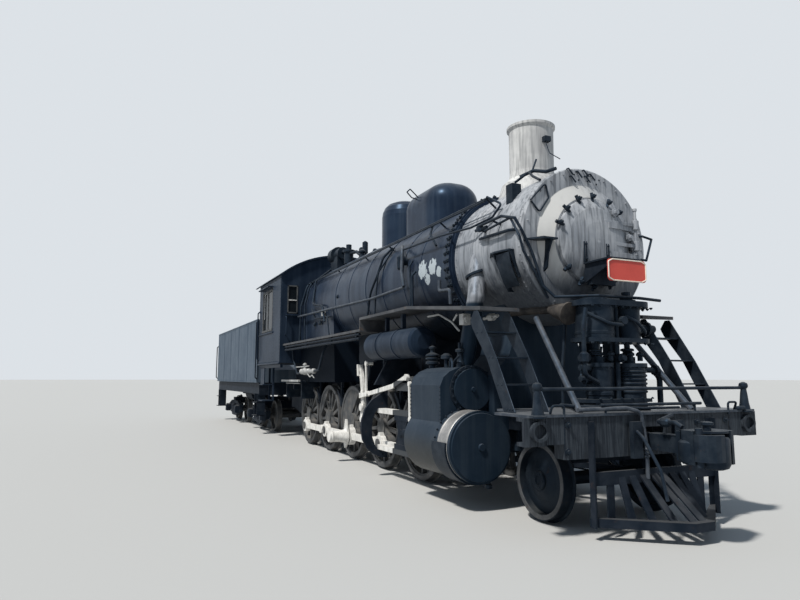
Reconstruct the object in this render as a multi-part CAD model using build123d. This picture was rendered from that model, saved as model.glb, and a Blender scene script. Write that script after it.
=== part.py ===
from build123d import *
import math
import os

os.makedirs("parts", exist_ok=True)

# Steam locomotive of the 2-10-0 kind with its tender, in millimetres.
# Every piece is drawn with x forward from the main axle, y to the left and z up from the rail top.
# place() then moves it into the shared frame, where z = 0 is the tip of the wheel flanges.
FLANGE_DEPTH = 28.0
MAIN_AXLE_X = 2980.0

# Coupled wheels, cranks and rods
DRIVER_R = 660.0
DRIVER_PITCH = 1422.4
DRIVER_XS = {1: 2 * DRIVER_PITCH, 2: DRIVER_PITCH, 3: 0.0, 4: -DRIVER_PITCH, 5: -2 * DRIVER_PITCH}
WHEEL_BACK = 680.0
WHEEL_FACE = 820.0
CRANK_R = 355.6
CRANK_DEG = {-1: -42.5, 1: 47.5}
ROD_IN = 900.0
ROD_OUT = 1000.0
SPOKES = 13
DRIVER_AXLE_R = 105.0
MAIN_PIN_R = 90.0
SIDE_PIN_R = 62.0
PIN_PLAY = 0.5

# Small wheels
PILOT_X = 5656.0
PILOT_R = 404.0
PILOT_PIVOT_X = 4250.0
TENDER_R = 419.0
SMALL_AXLE_R = 70.0

# Bar frames
FRAME_IN = 470.0
FRAME_OUT = 585.0
FRAME_TOP = 1000.0
FRAME_BOTTOM = 380.0
FRAME_REAR = -5000.0
BEAM_X = 6430.0

# Boiler and smokebox
BOILER_Z = 3017.0
SMOKEBOX_R = 898.0
SMOKEBOX_REAR = 4060.0
SMOKEBOX_FRONT = 5531.0
SHELL = 22.0
STACK_X = 4571.0
STACK_TOP = 4804.0
STACK_R = 290.0

# Cylinders
CYL_Y = 1119.0
CYL_Z = 691.0
CYL_R = 400.0
CYL_BACK = 3800.0
CYL_FRONT = 4955.0
VALVE_Y = 1011.0
VALVE_Z = 1333.0
VALVE_R = 255.0

# Cab
CAB_FRONT = -3099.0
CAB_REAR = -5386.0
CAB_Y = 1489.0
CAB_FLOOR = 1804.0
CAB_EAVE = 3872.0
CAB_PEAK = 4420.0
CAB_WALL = 40.0

# Tender
TANK_FRONT = -5587.0
TANK_REAR = -12485.0
TANK_BOTTOM = 1335.0
TANK_TOP = 3012.0
TANK_Y = 1488.0
TENDER_TRUCKS = {"front": -7160.0, "rear": -11160.0}
TRUCK_HALF_BASE = 838.0
DRAWBAR_PIN_X = -5150.0

# Running boards
BOARD_Y = 1413.0
BOARD_T = 40.0
BOARD_LOW = 2238.0
BOARD_HIGH = 2421.0
BOARD_FRONT = 5497.0
BOARD_FRONT_Z = 2232.0
LADDER_W = 413.0
DECK_TOP = 1134.0
DECK_T = 25.0

# Couplers
COUPLER_Z = 850.0
COUPLER_FRONT = 7250.0
COUPLER_REAR = -13210.0


def block(x, y, z):
    """Box between pairs of low and high values."""
    size = (x[1] - x[0], y[1] - y[0], z[1] - z[0])
    return Pos((x[0] + x[1]) / 2, (y[0] + y[1]) / 2, (z[0] + z[1]) / 2) * Box(*size)


def side_plate(points, y):
    """Outline of (x, z) points, extruded from y[0] to y[1]."""
    face = Plane.XZ.offset(-y[1]) * make_face(Polyline(*points, close=True))
    return extrude(face, amount=y[1] - y[0])


def front_plate(points, x):
    """Outline of (y, z) points, extruded from x[0] to x[1]."""
    face = Plane.YZ.offset(x[0]) * make_face(Polyline(*points, close=True))
    return extrude(face, amount=x[1] - x[0])


def flat_plate(points, z):
    """Outline of (x, y) points, extruded from z[0] to z[1]."""
    face = Plane.XY.offset(z[0]) * make_face(Polyline(*points, close=True))
    return extrude(face, amount=z[1] - z[0])


def disc_x(y, z, radius, x):
    """Cylinder along x."""
    return Pos((x[0] + x[1]) / 2, y, z) * Rot(0, 90, 0) * Cylinder(radius, x[1] - x[0])


def disc_y(x, z, radius, y):
    """Cylinder along y."""
    return Pos(x, (y[0] + y[1]) / 2, z) * Rot(90, 0, 0) * Cylinder(radius, abs(y[1] - y[0]))


def disc_z(x, y, radius, z):
    """Cylinder along z."""
    return Pos(x, y, (z[0] + z[1]) / 2) * Cylinder(radius, z[1] - z[0])


def turned_x(profile, y, z):
    """Solid turned about a line along x from (x, radius) points."""
    face = Plane.XY * make_face(Polyline(*profile, close=True))
    return Pos(0, y, z) * revolve(face, Axis.X)


def turned_y(profile):
    """Solid turned about the y axis from (radius, y) points."""
    face = Plane.XY * make_face(Polyline(*profile, close=True))
    return revolve(face, Axis.Y)


def turned_z(profile, x, y):
    """Solid turned about a vertical line from (radius, z) points."""
    face = Plane.XZ * make_face(Polyline(*profile, close=True))
    return Pos(x, y, 0) * revolve(face, Axis.Z)


def bar(start, end, radius):
    """Round bar between two points."""
    a, b = Vector(*start), Vector(*end)
    length = (b - a).length
    plane = Plane(origin=a, z_dir=b - a)
    return plane * Cylinder(radius, length, align=(Align.CENTER, Align.CENTER, Align.MIN))


def flat_bar(start, end, width, thickness):
    """Bar of rectangular section between two points, its width across the engine."""
    a, b = Vector(*start), Vector(*end)
    along = (b - a).normalized()
    plane = Plane(origin=(a + b) * 0.5, x_dir=Vector(0, 1, 0), z_dir=along.cross(Vector(0, 1, 0)))
    return plane * Box(width, (b - a).length, thickness)


def mirrored(shape):
    """The same piece on the other side of the engine."""
    return mirror(shape, Plane.XZ)


def both_sides(shape):
    """A piece and its mirror image, as separate solids."""
    return [shape, mirrored(shape)]


def place(shapes, name):
    """Move a piece or a list of pieces into the shared frame and write it."""
    pieces = shapes if isinstance(shapes, list) else [shapes]
    solids = [solid for piece in pieces for solid in piece.solids()]
    moved = [Pos(MAIN_AXLE_X, 0, FLANGE_DEPTH) * solid for solid in solids]
    result = moved[0] if len(moved) == 1 else Compound(children=moved)
    result.label = name
    export_step(result, f"parts/{name}.step")


# Coupled wheelsets
def crank_point(side, radius=CRANK_R):
    """x and z of the crank pin from the axle."""
    angle = math.radians(CRANK_DEG[side])
    return radius * math.cos(angle), radius * math.sin(angle)


def spoked_wheel(side, weight_depth, pin_r, pin_end):
    """One spoked wheel about the y axis, with its balance weight and crank pin."""
    r = DRIVER_R
    rim = turned_y([(r - 95, 692), (r - 95, 808), (r - 40, WHEEL_FACE), (r - 4, WHEEL_FACE), (r, 712),
                    (r + FLANGE_DEPTH, 702), (r + FLANGE_DEPTH - 6, 685), (r, WHEEL_BACK), (r - 60, WHEEL_BACK)])
    hub = disc_y(0, 0, 150, (WHEEL_BACK, 845))
    spoke = side_plate([(100, -36), (r - 80, -23), (r - 80, 23), (100, 36)], (715, 785))
    spokes = [Rot(0, 360 * i / SPOKES, 0) * spoke for i in range(SPOKES)]
    weight = disc_y(0, 0, r - 85, (705, 812)) & block((-r, -weight_depth), (0, 900), (-r, r))
    cx, cz = crank_point(1)
    weight = Rot(0, -CRANK_DEG[1], 0) * weight
    boss = disc_y(cx, cz, 125, (705, 860))
    web = Rot(0, -CRANK_DEG[1], 0) * block((0, CRANK_R), (705, 830), (-110, 110))
    pin = disc_y(cx, cz, pin_r, (860, pin_end))
    cap = disc_y(cx, cz, pin_r + 14, (ROD_OUT + 5, ROD_OUT + 22))
    wheel = rim + [hub, weight, boss, web, pin, cap] + spokes
    if side < 0:
        wheel = Rot(0, CRANK_DEG[1] - CRANK_DEG[-1], 0) * mirrored(wheel)
    return wheel


def driver_wheelset(weight_depth, pin_r, pin_end):
    axle = disc_y(0, 0, DRIVER_AXLE_R, (-WHEEL_BACK, WHEEL_BACK))
    wheels = [spoked_wheel(side, weight_depth, pin_r, pin_end) for side in (-1, 1)]
    return axle + wheels


coupled_set = driver_wheelset(430, SIDE_PIN_R, ROD_OUT + 5)
main_set = driver_wheelset(150, MAIN_PIN_R, 1370)
for number, axle_x in DRIVER_XS.items():
    wheelset = main_set if number == 3 else coupled_set
    place(Pos(axle_x, 0, DRIVER_R) * wheelset, f"driver_wheelset_{number}")


# Side rods
def side_rod(side):
    """One rod over all five crank pins, on one side."""
    dx, dz = crank_point(side)
    z = DRIVER_R + dz
    ends = (DRIVER_XS[5] + dx, DRIVER_XS[1] + dx)
    beam = block(ends, (ROD_IN + 18, ROD_OUT - 18), (z - 58, z + 58))
    eyes = []
    holes = []
    for number, axle_x in DRIVER_XS.items():
        pin_r = MAIN_PIN_R if number == 3 else SIDE_PIN_R
        x = axle_x + dx
        rise = z + pin_r + 55
        eyes.append(disc_y(x, z, pin_r + 68, (ROD_IN, ROD_OUT)))
        eyes.append(side_plate([(x - 62, rise - 30), (x - 30, rise + 55), (x + 30, rise + 55), (x + 62, rise - 30)],
                               (ROD_IN + 12, ROD_OUT - 12)))
        if number not in (1, 5):
            knuckle_x = x - 300
            eyes.append(disc_y(knuckle_x, z, 82, (ROD_IN + 6, ROD_OUT - 6)))
        holes.append(disc_y(axle_x + dx, z, pin_r + PIN_PLAY, (ROD_IN - 10, ROD_OUT + 10)))
    return (beam + eyes) - holes


place(mirrored(side_rod(-1)), "side_rod_right")
place(side_rod(1), "side_rod_left")


# Small wheelsets
def plain_wheelset(radius, axle_r, journal_end):
    """Axle with two plate wheels about the y axis."""
    r = radius
    profile = [(axle_r, WHEEL_BACK + 5), (axle_r + 45, WHEEL_BACK + 5), (r * 0.55, 745), (r - 62, 720),
               (r - 55, WHEEL_BACK), (r, WHEEL_BACK), (r + FLANGE_DEPTH - 6, 685), (r + FLANGE_DEPTH, 702),
               (r, 712), (r - 4, WHEEL_FACE), (r - 58, WHEEL_FACE), (r - 64, 745), (r * 0.55, 768),
               (axle_r + 50, 810), (axle_r, 810)]
    wheel = turned_y(profile)
    axle = disc_y(0, 0, axle_r, (-journal_end, journal_end))
    return axle + [wheel, mirrored(wheel)]


place(Pos(PILOT_X, 0, PILOT_R) * plain_wheelset(PILOT_R, SMALL_AXLE_R, 812), "pilot_wheelset")

# Pilot truck frame: two inside boxes, a cross bar and the radius bars to the pivot
truck_sides = []
for side in (-1, 1):
    y_low, y_high = sorted((side * 480, side * 600))
    box_body = block((PILOT_X - 150, PILOT_X + 150), (y_low, y_high), (PILOT_R - 140, PILOT_R + 170))
    hole = disc_y(PILOT_X, PILOT_R, SMALL_AXLE_R + PIN_PLAY, (y_low - 10, y_high + 10))
    arm = flat_plate([(PILOT_PIVOT_X, side * 30), (PILOT_PIVOT_X, side * 110), (PILOT_X - 150, side * 590),
                      (PILOT_X - 150, side * 500)], (PILOT_R - 20, PILOT_R + 50))
    truck_sides.append((box_body + arm) - hole)
cross = block((PILOT_X - 120, PILOT_X + 120), (-600, 600), (PILOT_R + 170, PILOT_R + 250))
pivot_eye = disc_z(PILOT_PIVOT_X, 0, 120, (PILOT_R - 20, PILOT_R + 50))
centre_plate = disc_z(PILOT_X, 0, 180, (PILOT_R + 250, 790))
pilot_truck = truck_sides[0] + [truck_sides[1], cross, pivot_eye, centre_plate]
pilot_truck = pilot_truck - disc_z(PILOT_PIVOT_X, 0, 40.5, (300, 600))
place(pilot_truck, "pilot_truck_frame")


# Bar frames with pedestals, ties and the rear extension
def frame_side(side):
    """One bar frame with open windows between the pedestals."""
    y = sorted((side * FRAME_IN, side * FRAME_OUT))
    outline = [(FRAME_REAR, 700), (-3400, FRAME_BOTTOM), (3300, FRAME_BOTTOM), (3420, 860), (BEAM_X - 160, 860),
               (BEAM_X - 160, FRAME_TOP), (FRAME_REAR, FRAME_TOP)]
    plate = side_plate(outline, y)
    cuts = []
    for axle_x in DRIVER_XS.values():
        cuts.append(block((axle_x - 150, axle_x + 150), (y[0] - 5, y[1] + 5), (460, 860)))
    for number in (1, 2, 3, 4):
        low = DRIVER_XS[number + 1] + 240
        high = DRIVER_XS[number] - 240
        cuts.append(block((low, high), (y[0] - 5, y[1] + 5), (470, 850)))
    return plate - cuts


ties = [block((x - 25, x + 25), (-FRAME_IN, FRAME_IN), (500, FRAME_TOP)) for x in (-2134, -711, 711, 2134, 3300)]
rear_tie = block((FRAME_REAR - 320, FRAME_REAR + 60), (-FRAME_OUT, FRAME_OUT), (700, FRAME_TOP))
rear_slot = block((FRAME_REAR - 330, FRAME_REAR + 20), (-170, 170), (780, 900))
truck_tongue = block((3300, PILOT_PIVOT_X + 90), (-70, 70), (520, 590))
truck_pin = disc_z(PILOT_PIVOT_X, 0, 40, (370, 520))
drawbar_hole = disc_z(DRAWBAR_PIN_X, 0, 45.5, (690, 1010))
truck_pad = block((PILOT_X - 260, PILOT_X + 260), (-FRAME_IN, FRAME_IN), (860, FRAME_TOP))
truck_post = disc_z(PILOT_X, 0, 150, (800, 860))
frame = frame_side(-1) + [frame_side(1), rear_tie, truck_pad, truck_post, truck_tongue, truck_pin] + ties
frame = frame - [rear_slot, drawbar_hole]
place(frame, "main_frame")

axle_boxes = []
for side in (-1, 1):
    y_low, y_high = sorted((side * (FRAME_IN - 30), side * (FRAME_OUT + 40)))
    for axle_x in DRIVER_XS.values():
        box_body = block((axle_x - 150, axle_x + 150), (y_low, y_high), (460, 860))
        axle_boxes.append(box_body - disc_y(axle_x, DRIVER_R, DRIVER_AXLE_R + PIN_PLAY, (y_low - 5, y_high + 5)))
place(axle_boxes, "axle_boxes")


def pipe(points, radius):
    """Round pipe through a list of points, with balls at the corners."""
    pieces = [bar(start, end, radius) for start, end in zip(points, points[1:])]
    corners = [Pos(*point) * Sphere(radius) for point in points[1:-1]]
    return pieces[0] + pieces[1:] + corners


# Cylinders with their saddles, and the steam pipes that come down from the smokebox
STEAM_PIPE = [(4500, 800, 3000), (4640, 935, 2450), (4420, 1000, 1500)]
STEAM_PIPE_R = 105.0
JACKET = [(1420, 700), (1425, 1380), (1380, 1480), (1300, 1545), (1180, 1592), (1011, 1605), (900, 1585),
          (640, 1500), (640, 900), (760, 560)]
JACKET_FRONT = 4615.0
GLAND_BACK = 3600.0


def cylinder(side):
    """Cylinder, valve chest and half saddle of the left side, mirrored for the right."""
    barrel = disc_x(CYL_Y, CYL_Z, CYL_R, (CYL_BACK, CYL_FRONT))
    front_head = turned_x([(CYL_FRONT, 0), (CYL_FRONT, 408), (CYL_FRONT + 45, 408), (CYL_FRONT + 45, 385),
                           (CYL_FRONT + 62, 380), (CYL_FRONT + 62, 45), (CYL_FRONT + 85, 38),
                           (CYL_FRONT + 85, 0)],
                          CYL_Y, CYL_Z)
    back_head = turned_x([(CYL_BACK, 0), (CYL_BACK, 370), (CYL_BACK - 30, 370), (CYL_BACK - 30, 150),
                          (CYL_BACK - 110, 130), (CYL_BACK - 110, 0)], CYL_Y, CYL_Z)
    chest = turned_x([(CYL_BACK, 0), (CYL_BACK, VALVE_R), (4620, VALVE_R), (4620, 247), (4674, 247), (4676, 30),
                      (4700, 26), (4700, 0)], VALVE_Y, VALVE_Z)
    chest_back = turned_x([(CYL_BACK, 0), (CYL_BACK, 235), (CYL_BACK - 35, 235), (CYL_BACK - 45, 95),
                           (GLAND_BACK, 75), (GLAND_BACK, 0)], VALVE_Y, VALVE_Z)
    jacket = front_plate(JACKET, (CYL_BACK, JACKET_FRONT))
    saddle = front_plate([(0, 600), (FRAME_IN, 600), (FRAME_IN, 860), (FRAME_OUT, 860), (760, 700), (800, 1500),
                          (560, 1750), (470, 2000), (640, 2420), (0, 2420)], (4100, 4780))
    rail = block((CYL_BACK - 50, 5000), (FRAME_IN, FRAME_OUT), (860, FRAME_TOP))
    steam_pipe = pipe(STEAM_PIPE, STEAM_PIPE_R)
    body = barrel + [front_head, back_head, chest, chest_back, jacket, saddle, steam_pipe]
    rod_bore = disc_x(CYL_Y, CYL_Z, 46, (CYL_BACK - 120, 4750))
    smokebox_seat = disc_x(0, BOILER_Z, SMOKEBOX_R, (CYL_BACK, 4900))
    body = body - [rail, rod_bore, smokebox_seat]
    return body if side > 0 else mirrored(body)


place(cylinder(-1), "cylinder_right")
place(cylinder(1), "cylinder_left")

# Smokebox: rolled tube with the ring front and its raised door seat
tube = disc_x(0, BOILER_Z, SMOKEBOX_R, (SMOKEBOX_REAR, SMOKEBOX_FRONT))
tube = tube - disc_x(0, BOILER_Z, SMOKEBOX_R - SHELL, (SMOKEBOX_REAR - 5, SMOKEBOX_FRONT + 5))
stack_hole = disc_z(STACK_X, 0, STACK_R - 20, (BOILER_Z, 4200))
side_step = flat_plate([(4860, -870), (5400, -870), (5400, -960), (5180, -1010), (5080, -1000)], (2900, 2914))
side_web = front_plate([(-860, 2905), (-995, 2905), (-780, 2470), (-690, 2470)], (5110, 5124))
smokebox_space = disc_x(0, BOILER_Z, SMOKEBOX_R - 5, (SMOKEBOX_REAR, SMOKEBOX_FRONT))
place((tube - stack_hole) + [side_step - smokebox_space, side_web - smokebox_space], "smokebox")

DOOR_R = 505.0
DOOR_SEAT_X = SMOKEBOX_FRONT + 141
RING_X = SMOKEBOX_FRONT + 40
BEVEL_R = 696.0
front_ring = turned_x([(SMOKEBOX_FRONT, DOOR_R - 45), (SMOKEBOX_FRONT, SMOKEBOX_R + 6),
                       (RING_X - 10, SMOKEBOX_R + 6),
                       (RING_X, SMOKEBOX_R - 8), (RING_X, BEVEL_R), (DOOR_SEAT_X, DOOR_R + 25),
                       (DOOR_SEAT_X, DOOR_R - 45)], 0, BOILER_Z)
front_step = flat_plate([(RING_X - 20, -850), (RING_X - 20, -560), (RING_X + 170, -545), (RING_X + 170, -735)],
                        (2995, 3009))
front_web = side_plate([(RING_X - 20, 3000), (RING_X + 165, 3000), (RING_X + 90, 2850), (RING_X + 60, 2690),
                        (RING_X - 20, 2640)], (-620, -606))
ring_space = turned_x([(SMOKEBOX_FRONT, 0), (SMOKEBOX_FRONT, BEVEL_R), (RING_X - 1, BEVEL_R),
                       (DOOR_SEAT_X - 1, DOOR_R + 25), (DOOR_SEAT_X - 1, 0)], 0, BOILER_Z)
ring_step = (front_step + front_web) - ring_space
place(front_ring + ring_step, "smokebox_front")

# Smokebox door, domed, on two hinge straps at its left
HINGE_X = DOOR_SEAT_X + 55
HINGE_Y = 560.0
HINGE_PIN_R = 18.0
STRAPS = {"top": BOILER_Z + 200, "bottom": BOILER_Z - 140}
DOOR_DOME = [(5, 0), (5, DOOR_R), (45, DOOR_R - 5), (90, DOOR_R - 120), (112, DOOR_R - 290), (118, 0)]
door = turned_x([(DOOR_SEAT_X + x, radius) for x, radius in DOOR_DOME], 0, BOILER_Z)
STRAP_OUTLINE = [(DOOR_SEAT_X + 60, 150), (DOOR_SEAT_X + 122, 150), (DOOR_SEAT_X + 112, 330),
                 (DOOR_SEAT_X + 92, 450), (HINGE_X + 24, HINGE_Y), (HINGE_X - 24, HINGE_Y),
                 (DOOR_SEAT_X + 30, 450), (DOOR_SEAT_X + 50, 380)]
straps = []
for z_mid in STRAPS.values():
    straps.append(flat_plate(STRAP_OUTLINE, (z_mid - 35, z_mid + 35)))
    straps.append(disc_z(HINGE_X, HINGE_Y, 34, (z_mid - 50, z_mid + 50)))
pin_bore = disc_z(HINGE_X, HINGE_Y, HINGE_PIN_R + PIN_PLAY, (BOILER_Z - 300, BOILER_Z + 300))
place((door + straps) - pin_bore, "smokebox_door")

# Hinge pin, held by an arm on the ring between the two straps
arm_z = (STRAPS["bottom"] + 80, STRAPS["top"] - 90)
arm = flat_plate([(HINGE_X - 22, HINGE_Y), (HINGE_X + 22, HINGE_Y), (RING_X + 30, 720), (RING_X - 5, 720),
                  (RING_X - 5, 670)], arm_z)
hinge = disc_z(HINGE_X, HINGE_Y, HINGE_PIN_R, (STRAPS["bottom"] - 60, STRAPS["top"] + 60))
hinge = hinge + [disc_z(HINGE_X, HINGE_Y, 32, arm_z), arm]
place(hinge - front_ring, "door_hinges")

# Lamp shelf on the door, with the plate on its front edge
SHELF_X = DOOR_SEAT_X + 118
shelf = block((SHELF_X - 12, 6180), (-230, 230), (2730, 2748))
gussets = [side_plate([(SHELF_X - 40, 2730), (6180, 2730), (6180, 2690), (SHELF_X - 40, 2520)], y)
           for y in ((-200, -180), (180, 200))]
shelf = (shelf + gussets) - door
place(shelf, "lamp_shelf")
place(Pos(6180, 0, 2607) * Rot(0, 90, 0) * extrude(RectangleRounded(236, 530, 40), amount=12), "number_plate")

# Stack with a flared base and a rolled rim
stack = turned_z([(STACK_R - 20, 3700), (480, 3700), (400, 3990), (STACK_R + 12, 4080), (STACK_R, 4160),
                  (STACK_R + 4, STACK_TOP - 70), (STACK_R + 29, STACK_TOP - 40), (STACK_R + 29, STACK_TOP - 8),
                  (STACK_R + 12, STACK_TOP), (STACK_R - 20, STACK_TOP)], STACK_X, 0)
place(stack - disc_x(0, BOILER_Z, SMOKEBOX_R, (SMOKEBOX_REAR, SMOKEBOX_FRONT)), "stack")

# Boiler barrel in coned courses, and the ring that joins it to the smokebox
BARREL = [(SMOKEBOX_REAR, 0), (SMOKEBOX_REAR, 945), (SMOKEBOX_REAR - 30, 945), (SMOKEBOX_REAR - 30, 972),
          (SMOKEBOX_REAR - 75, 972), (SMOKEBOX_REAR - 75, 955), (SMOKEBOX_REAR - 215, 955),
          (SMOKEBOX_REAR - 215, 940),
          (2500, 950), (500, 1005), (-700, 1015), (-700, 0)]
barrel = turned_x(BARREL, 0, BOILER_Z)
firebox_top = disc_x(0, BOILER_Z, 1015, (CAB_FRONT - 500, -700))
FIREBOX_LOW = 1380.0
wrapper_sides = front_plate([(-1015, BOILER_Z), (-985, 2500), (-945, FIREBOX_LOW), (945, FIREBOX_LOW), (985, 2500),
                             (1015, BOILER_Z)], (CAB_FRONT - 500, -700))
place(barrel + [firebox_top, wrapper_sides], "boiler")

# Ash pan between the frames, clear of the axles
ash_pan = []
for low, high in ((-3300, -2990), (-2700, -1560), (-1280, -760)):
    ash_pan.append(side_plate([(low, FIREBOX_LOW), (low + 60, 1060), (high - 60, 1060), (high, FIREBOX_LOW)],
                              (-440, 440)))
place(ash_pan, "ash_pan")

# Sand dome: a box with round corners and a soft crown
SAND_DOME = {"x": 2020.0, "length": 1440.0, "width": 920.0, "corner": 400.0, "top": 4648.0, "crown": 330.0}
sand = extrude(Plane.XY.offset(BOILER_Z + 500)
               * Pos(SAND_DOME["x"], 0)
               * RectangleRounded(SAND_DOME["length"], SAND_DOME["width"], SAND_DOME["corner"]),
               amount=SAND_DOME["top"] - BOILER_Z - 500)
sand = fillet(sand.faces().sort_by(Axis.Z)[-1].edges(), SAND_DOME["crown"])
place(sand - barrel, "sand_dome")

# Steam dome
STEAM_DOME_X = 560.0
STEAM_DOME = [(0, 3600), (438, 3600), (438, 4500), (425, 4590), (385, 4680), (320, 4745), (220, 4788),
              (0, 4804)]
steam = turned_z(STEAM_DOME, STEAM_DOME_X, 0)
place(steam - barrel, "steam_dome")

# Safety valves, whistle and the turbine generator on the firebox
valves = []
for x, y, height in ((-1350, -160, 230), (-1350, 160, 230), (-1700, 0, 200)):
    valves.append(turned_z([(0, 3950), (75, 3950), (75, 4050), (52, 4080), (52, 4030 + height), (30, 4060 + height),
                            (0, 4060 + height)], x, y) - firebox_top)
whistle = turned_z([(0, 3950), (30, 3950), (30, 4080), (60, 4100), (60, 4330), (20, 4360), (0, 4360)],
                   -1020, -200)
valves.append(whistle - firebox_top)
place(valves, "boiler_valves")
generator = disc_x(-420, 4230, 190, (-2350, -2100)) + [disc_x(-420, 4230, 130, (-2100, -1800))]
generator = generator + block((-2300, -1850), (-540, -300), (3800, 4160))
place(generator - firebox_top, "generator")


# Running boards: low behind, stepped up over the reservoirs, then sloping to the front steps
BOARD_IN = {"low": 1020.0, "high": 975.0, "front": 905.0}
boards = []
low_board = block((CAB_FRONT, 1871), (BOARD_IN["low"], BOARD_Y), (BOARD_LOW - BOARD_T, BOARD_LOW))
high_board = block((1871, 3650), (BOARD_IN["high"], BOARD_Y), (BOARD_HIGH - BOARD_T, BOARD_HIGH))
riser = block((1871, 1871 + 20), (BOARD_IN["high"], BOARD_Y), (BOARD_LOW - BOARD_T, BOARD_HIGH - BOARD_T))
front_board = side_plate([(3650, BOARD_HIGH), (BOARD_FRONT, BOARD_FRONT_Z), (BOARD_FRONT, BOARD_FRONT_Z - BOARD_T),
                          (3650, BOARD_HIGH - BOARD_T)], (BOARD_IN["front"], BOARD_Y))
boiler_space = barrel + [firebox_top, wrapper_sides, disc_x(0, BOILER_Z, SMOKEBOX_R, (4000, 5540))]
pipe_space = pipe(STEAM_PIPE, STEAM_PIPE_R + 4)
board = (low_board + [high_board, riser, front_board]) - [boiler_space, pipe_space]
place(both_sides(board), "running_boards")


# Ladders from the front of the boards down to the deck: two bent cheeks and three treads
LADDER_REAR = [(5372, BOARD_FRONT_Z - BOARD_T), (5295, 2090), (5345, 2000), (5617, 1670), (5915, DECK_TOP)]
LADDER_NOSE = [(6103, DECK_TOP), (5794, 1670), (5440, BOARD_FRONT_Z - BOARD_T)]
LADDER_TREADS = [(5395, 5575, 1960), (5615, 5770, 1685), (5770, 5925, 1410)]


def ladder():
    y_in, y_out = BOARD_Y - LADDER_W, BOARD_Y
    cheek = LADDER_REAR + LADDER_NOSE
    result = side_plate(cheek, (y_in, y_in + 12)) + side_plate(cheek, (y_out - 12, y_out))
    return result + [block((rear, nose), (y_in, y_out), (z - 16, z)) for rear, nose, z in LADDER_TREADS]


place(both_sides(ladder()), "front_ladders")


# Air reservoir under each board, on brackets
def reservoir():
    tank = turned_x([(1900, 0), (1900, 100), (1935, 190), (1985, 213), (3605, 213), (3655, 190), (3690, 100),
                     (3690, 0)], 1165, 1955)
    straps = []
    for x in (2430, 3020):
        strap = block((x - 25, x + 25), (1135, 1195), (2120, BOARD_HIGH - BOARD_T))
        straps.append(strap + disc_x(1165, 1955, 222, (x - 30, x + 30)))
    return tank + straps


place(both_sides(reservoir()), "air_reservoirs")


# Cooling pipes below the rear boards
def cooling_pipes():
    result = []
    for z in (2160, 2090):
        result.append(bar((-2950, 1385, z), (1820, 1385, z), 22))
    hangers = [block((x - 12, x + 12), (1363, 1407), (2060, BOARD_LOW - BOARD_T))
               for x in (-2800, -1200, 400, 1700)]
    return result[0] + [result[1]] + hangers


place(both_sides(cooling_pipes()), "cooling_pipes")


# Hand rails: one on posts along each side of the boiler, one round the smokebox front on the right
RAIL_Y = 850.0
RAIL_Z = 3668.0
RAIL_R = 17.0
FRONT_RAIL_POINTS = [(4800, -985, 3300), (5300, -985, 3310), (5560, -985, 3230), (5605, -935, 3100),
                     (5605, -800, 2860), (5620, -670, 2480), (5700, -575, 2352), (5990, -220, 2352),
                     (6000, 360, 2352), (6000, 660, 2340)]


def hand_rail():
    rail = bar((-2950, RAIL_Y, RAIL_Z), (4790, RAIL_Y, RAIL_Z), RAIL_R)
    posts = [bar((x, RAIL_Y, RAIL_Z), (x, RAIL_Y - 170, RAIL_Z - 130), 13)
             for x in (-2600, -900, 640, 1730, 3540, 4780)]
    return (rail + posts) - boiler_space


front_feet = [bar((5100, -985, 3306), (5100, -800, 3250), 13), bar((5605, -870, 2985), (5560, -870, 2985), 13),
              bar((5612, -735, 2670), (5560, -735, 2670), 13)]
front_hand_rail = (pipe(FRONT_RAIL_POINTS, RAIL_R) + front_feet) - [boiler_space, front_ring]
grab_iron = pipe([(5560, 833, 3189), (5600, 850, 3186), (5600, 1000, 3160), (5600, 900, 2890),
                  (5560, 845, 2905)], 14)
grab_iron = grab_iron - [boiler_space, front_ring]
place(both_sides(hand_rail()) + [front_hand_rail, grab_iron], "hand_rails")

# Front beam, end plates and pole pockets
beam = block((BEAM_X - 160, BEAM_X), (-1300, 1300), (860, DECK_TOP - DECK_T))
beam = beam + block((BEAM_X - 160, BEAM_X), (-1090, 1090), (716, 860))
BEAM_END_Y = 1525.0
POCKET = {"y": 1391.0, "z": 985.0}
for side in (-1, 1):
    y = sorted((side * 1300, side * BEAM_END_Y))
    y_face = sorted((side * 1300, side * (BEAM_END_Y + 15)))
    beam = beam + block((BEAM_X - 40, BEAM_X - 5), y_face, (850, DECK_TOP - DECK_T))
    for z in ((850, 885), (DECK_TOP - DECK_T - 35, DECK_TOP - DECK_T)):
        beam = beam + block((BEAM_X - 150, BEAM_X - 5), y, z)
    cup = disc_x(side * POCKET["y"], POCKET["z"], 95, (BEAM_X - 20, BEAM_X + 38))
    beam = beam + (cup - disc_x(side * POCKET["y"], POCKET["z"], 66, (BEAM_X, BEAM_X + 50)))
beam = beam - block((BEAM_X - 170, BEAM_X + 10), (-160, 160), (COUPLER_Z - 80, 990))
place(beam, "front_beam")

# Deck behind the beam: full width in front, narrow between the cylinders
deck = flat_plate([(BEAM_X + 20, -1500), (BEAM_X + 20, 1500), (5880, 1500), (5880, 1090), (5300, 1090),
                   (5300, -1090),
                   (5880, -1090), (5880, -1500)], (DECK_TOP - DECK_T, DECK_TOP))
place(deck, "front_deck")

# Couplers: jaw and knuckle about the pulling face at x = 0, on a square shank


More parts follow.
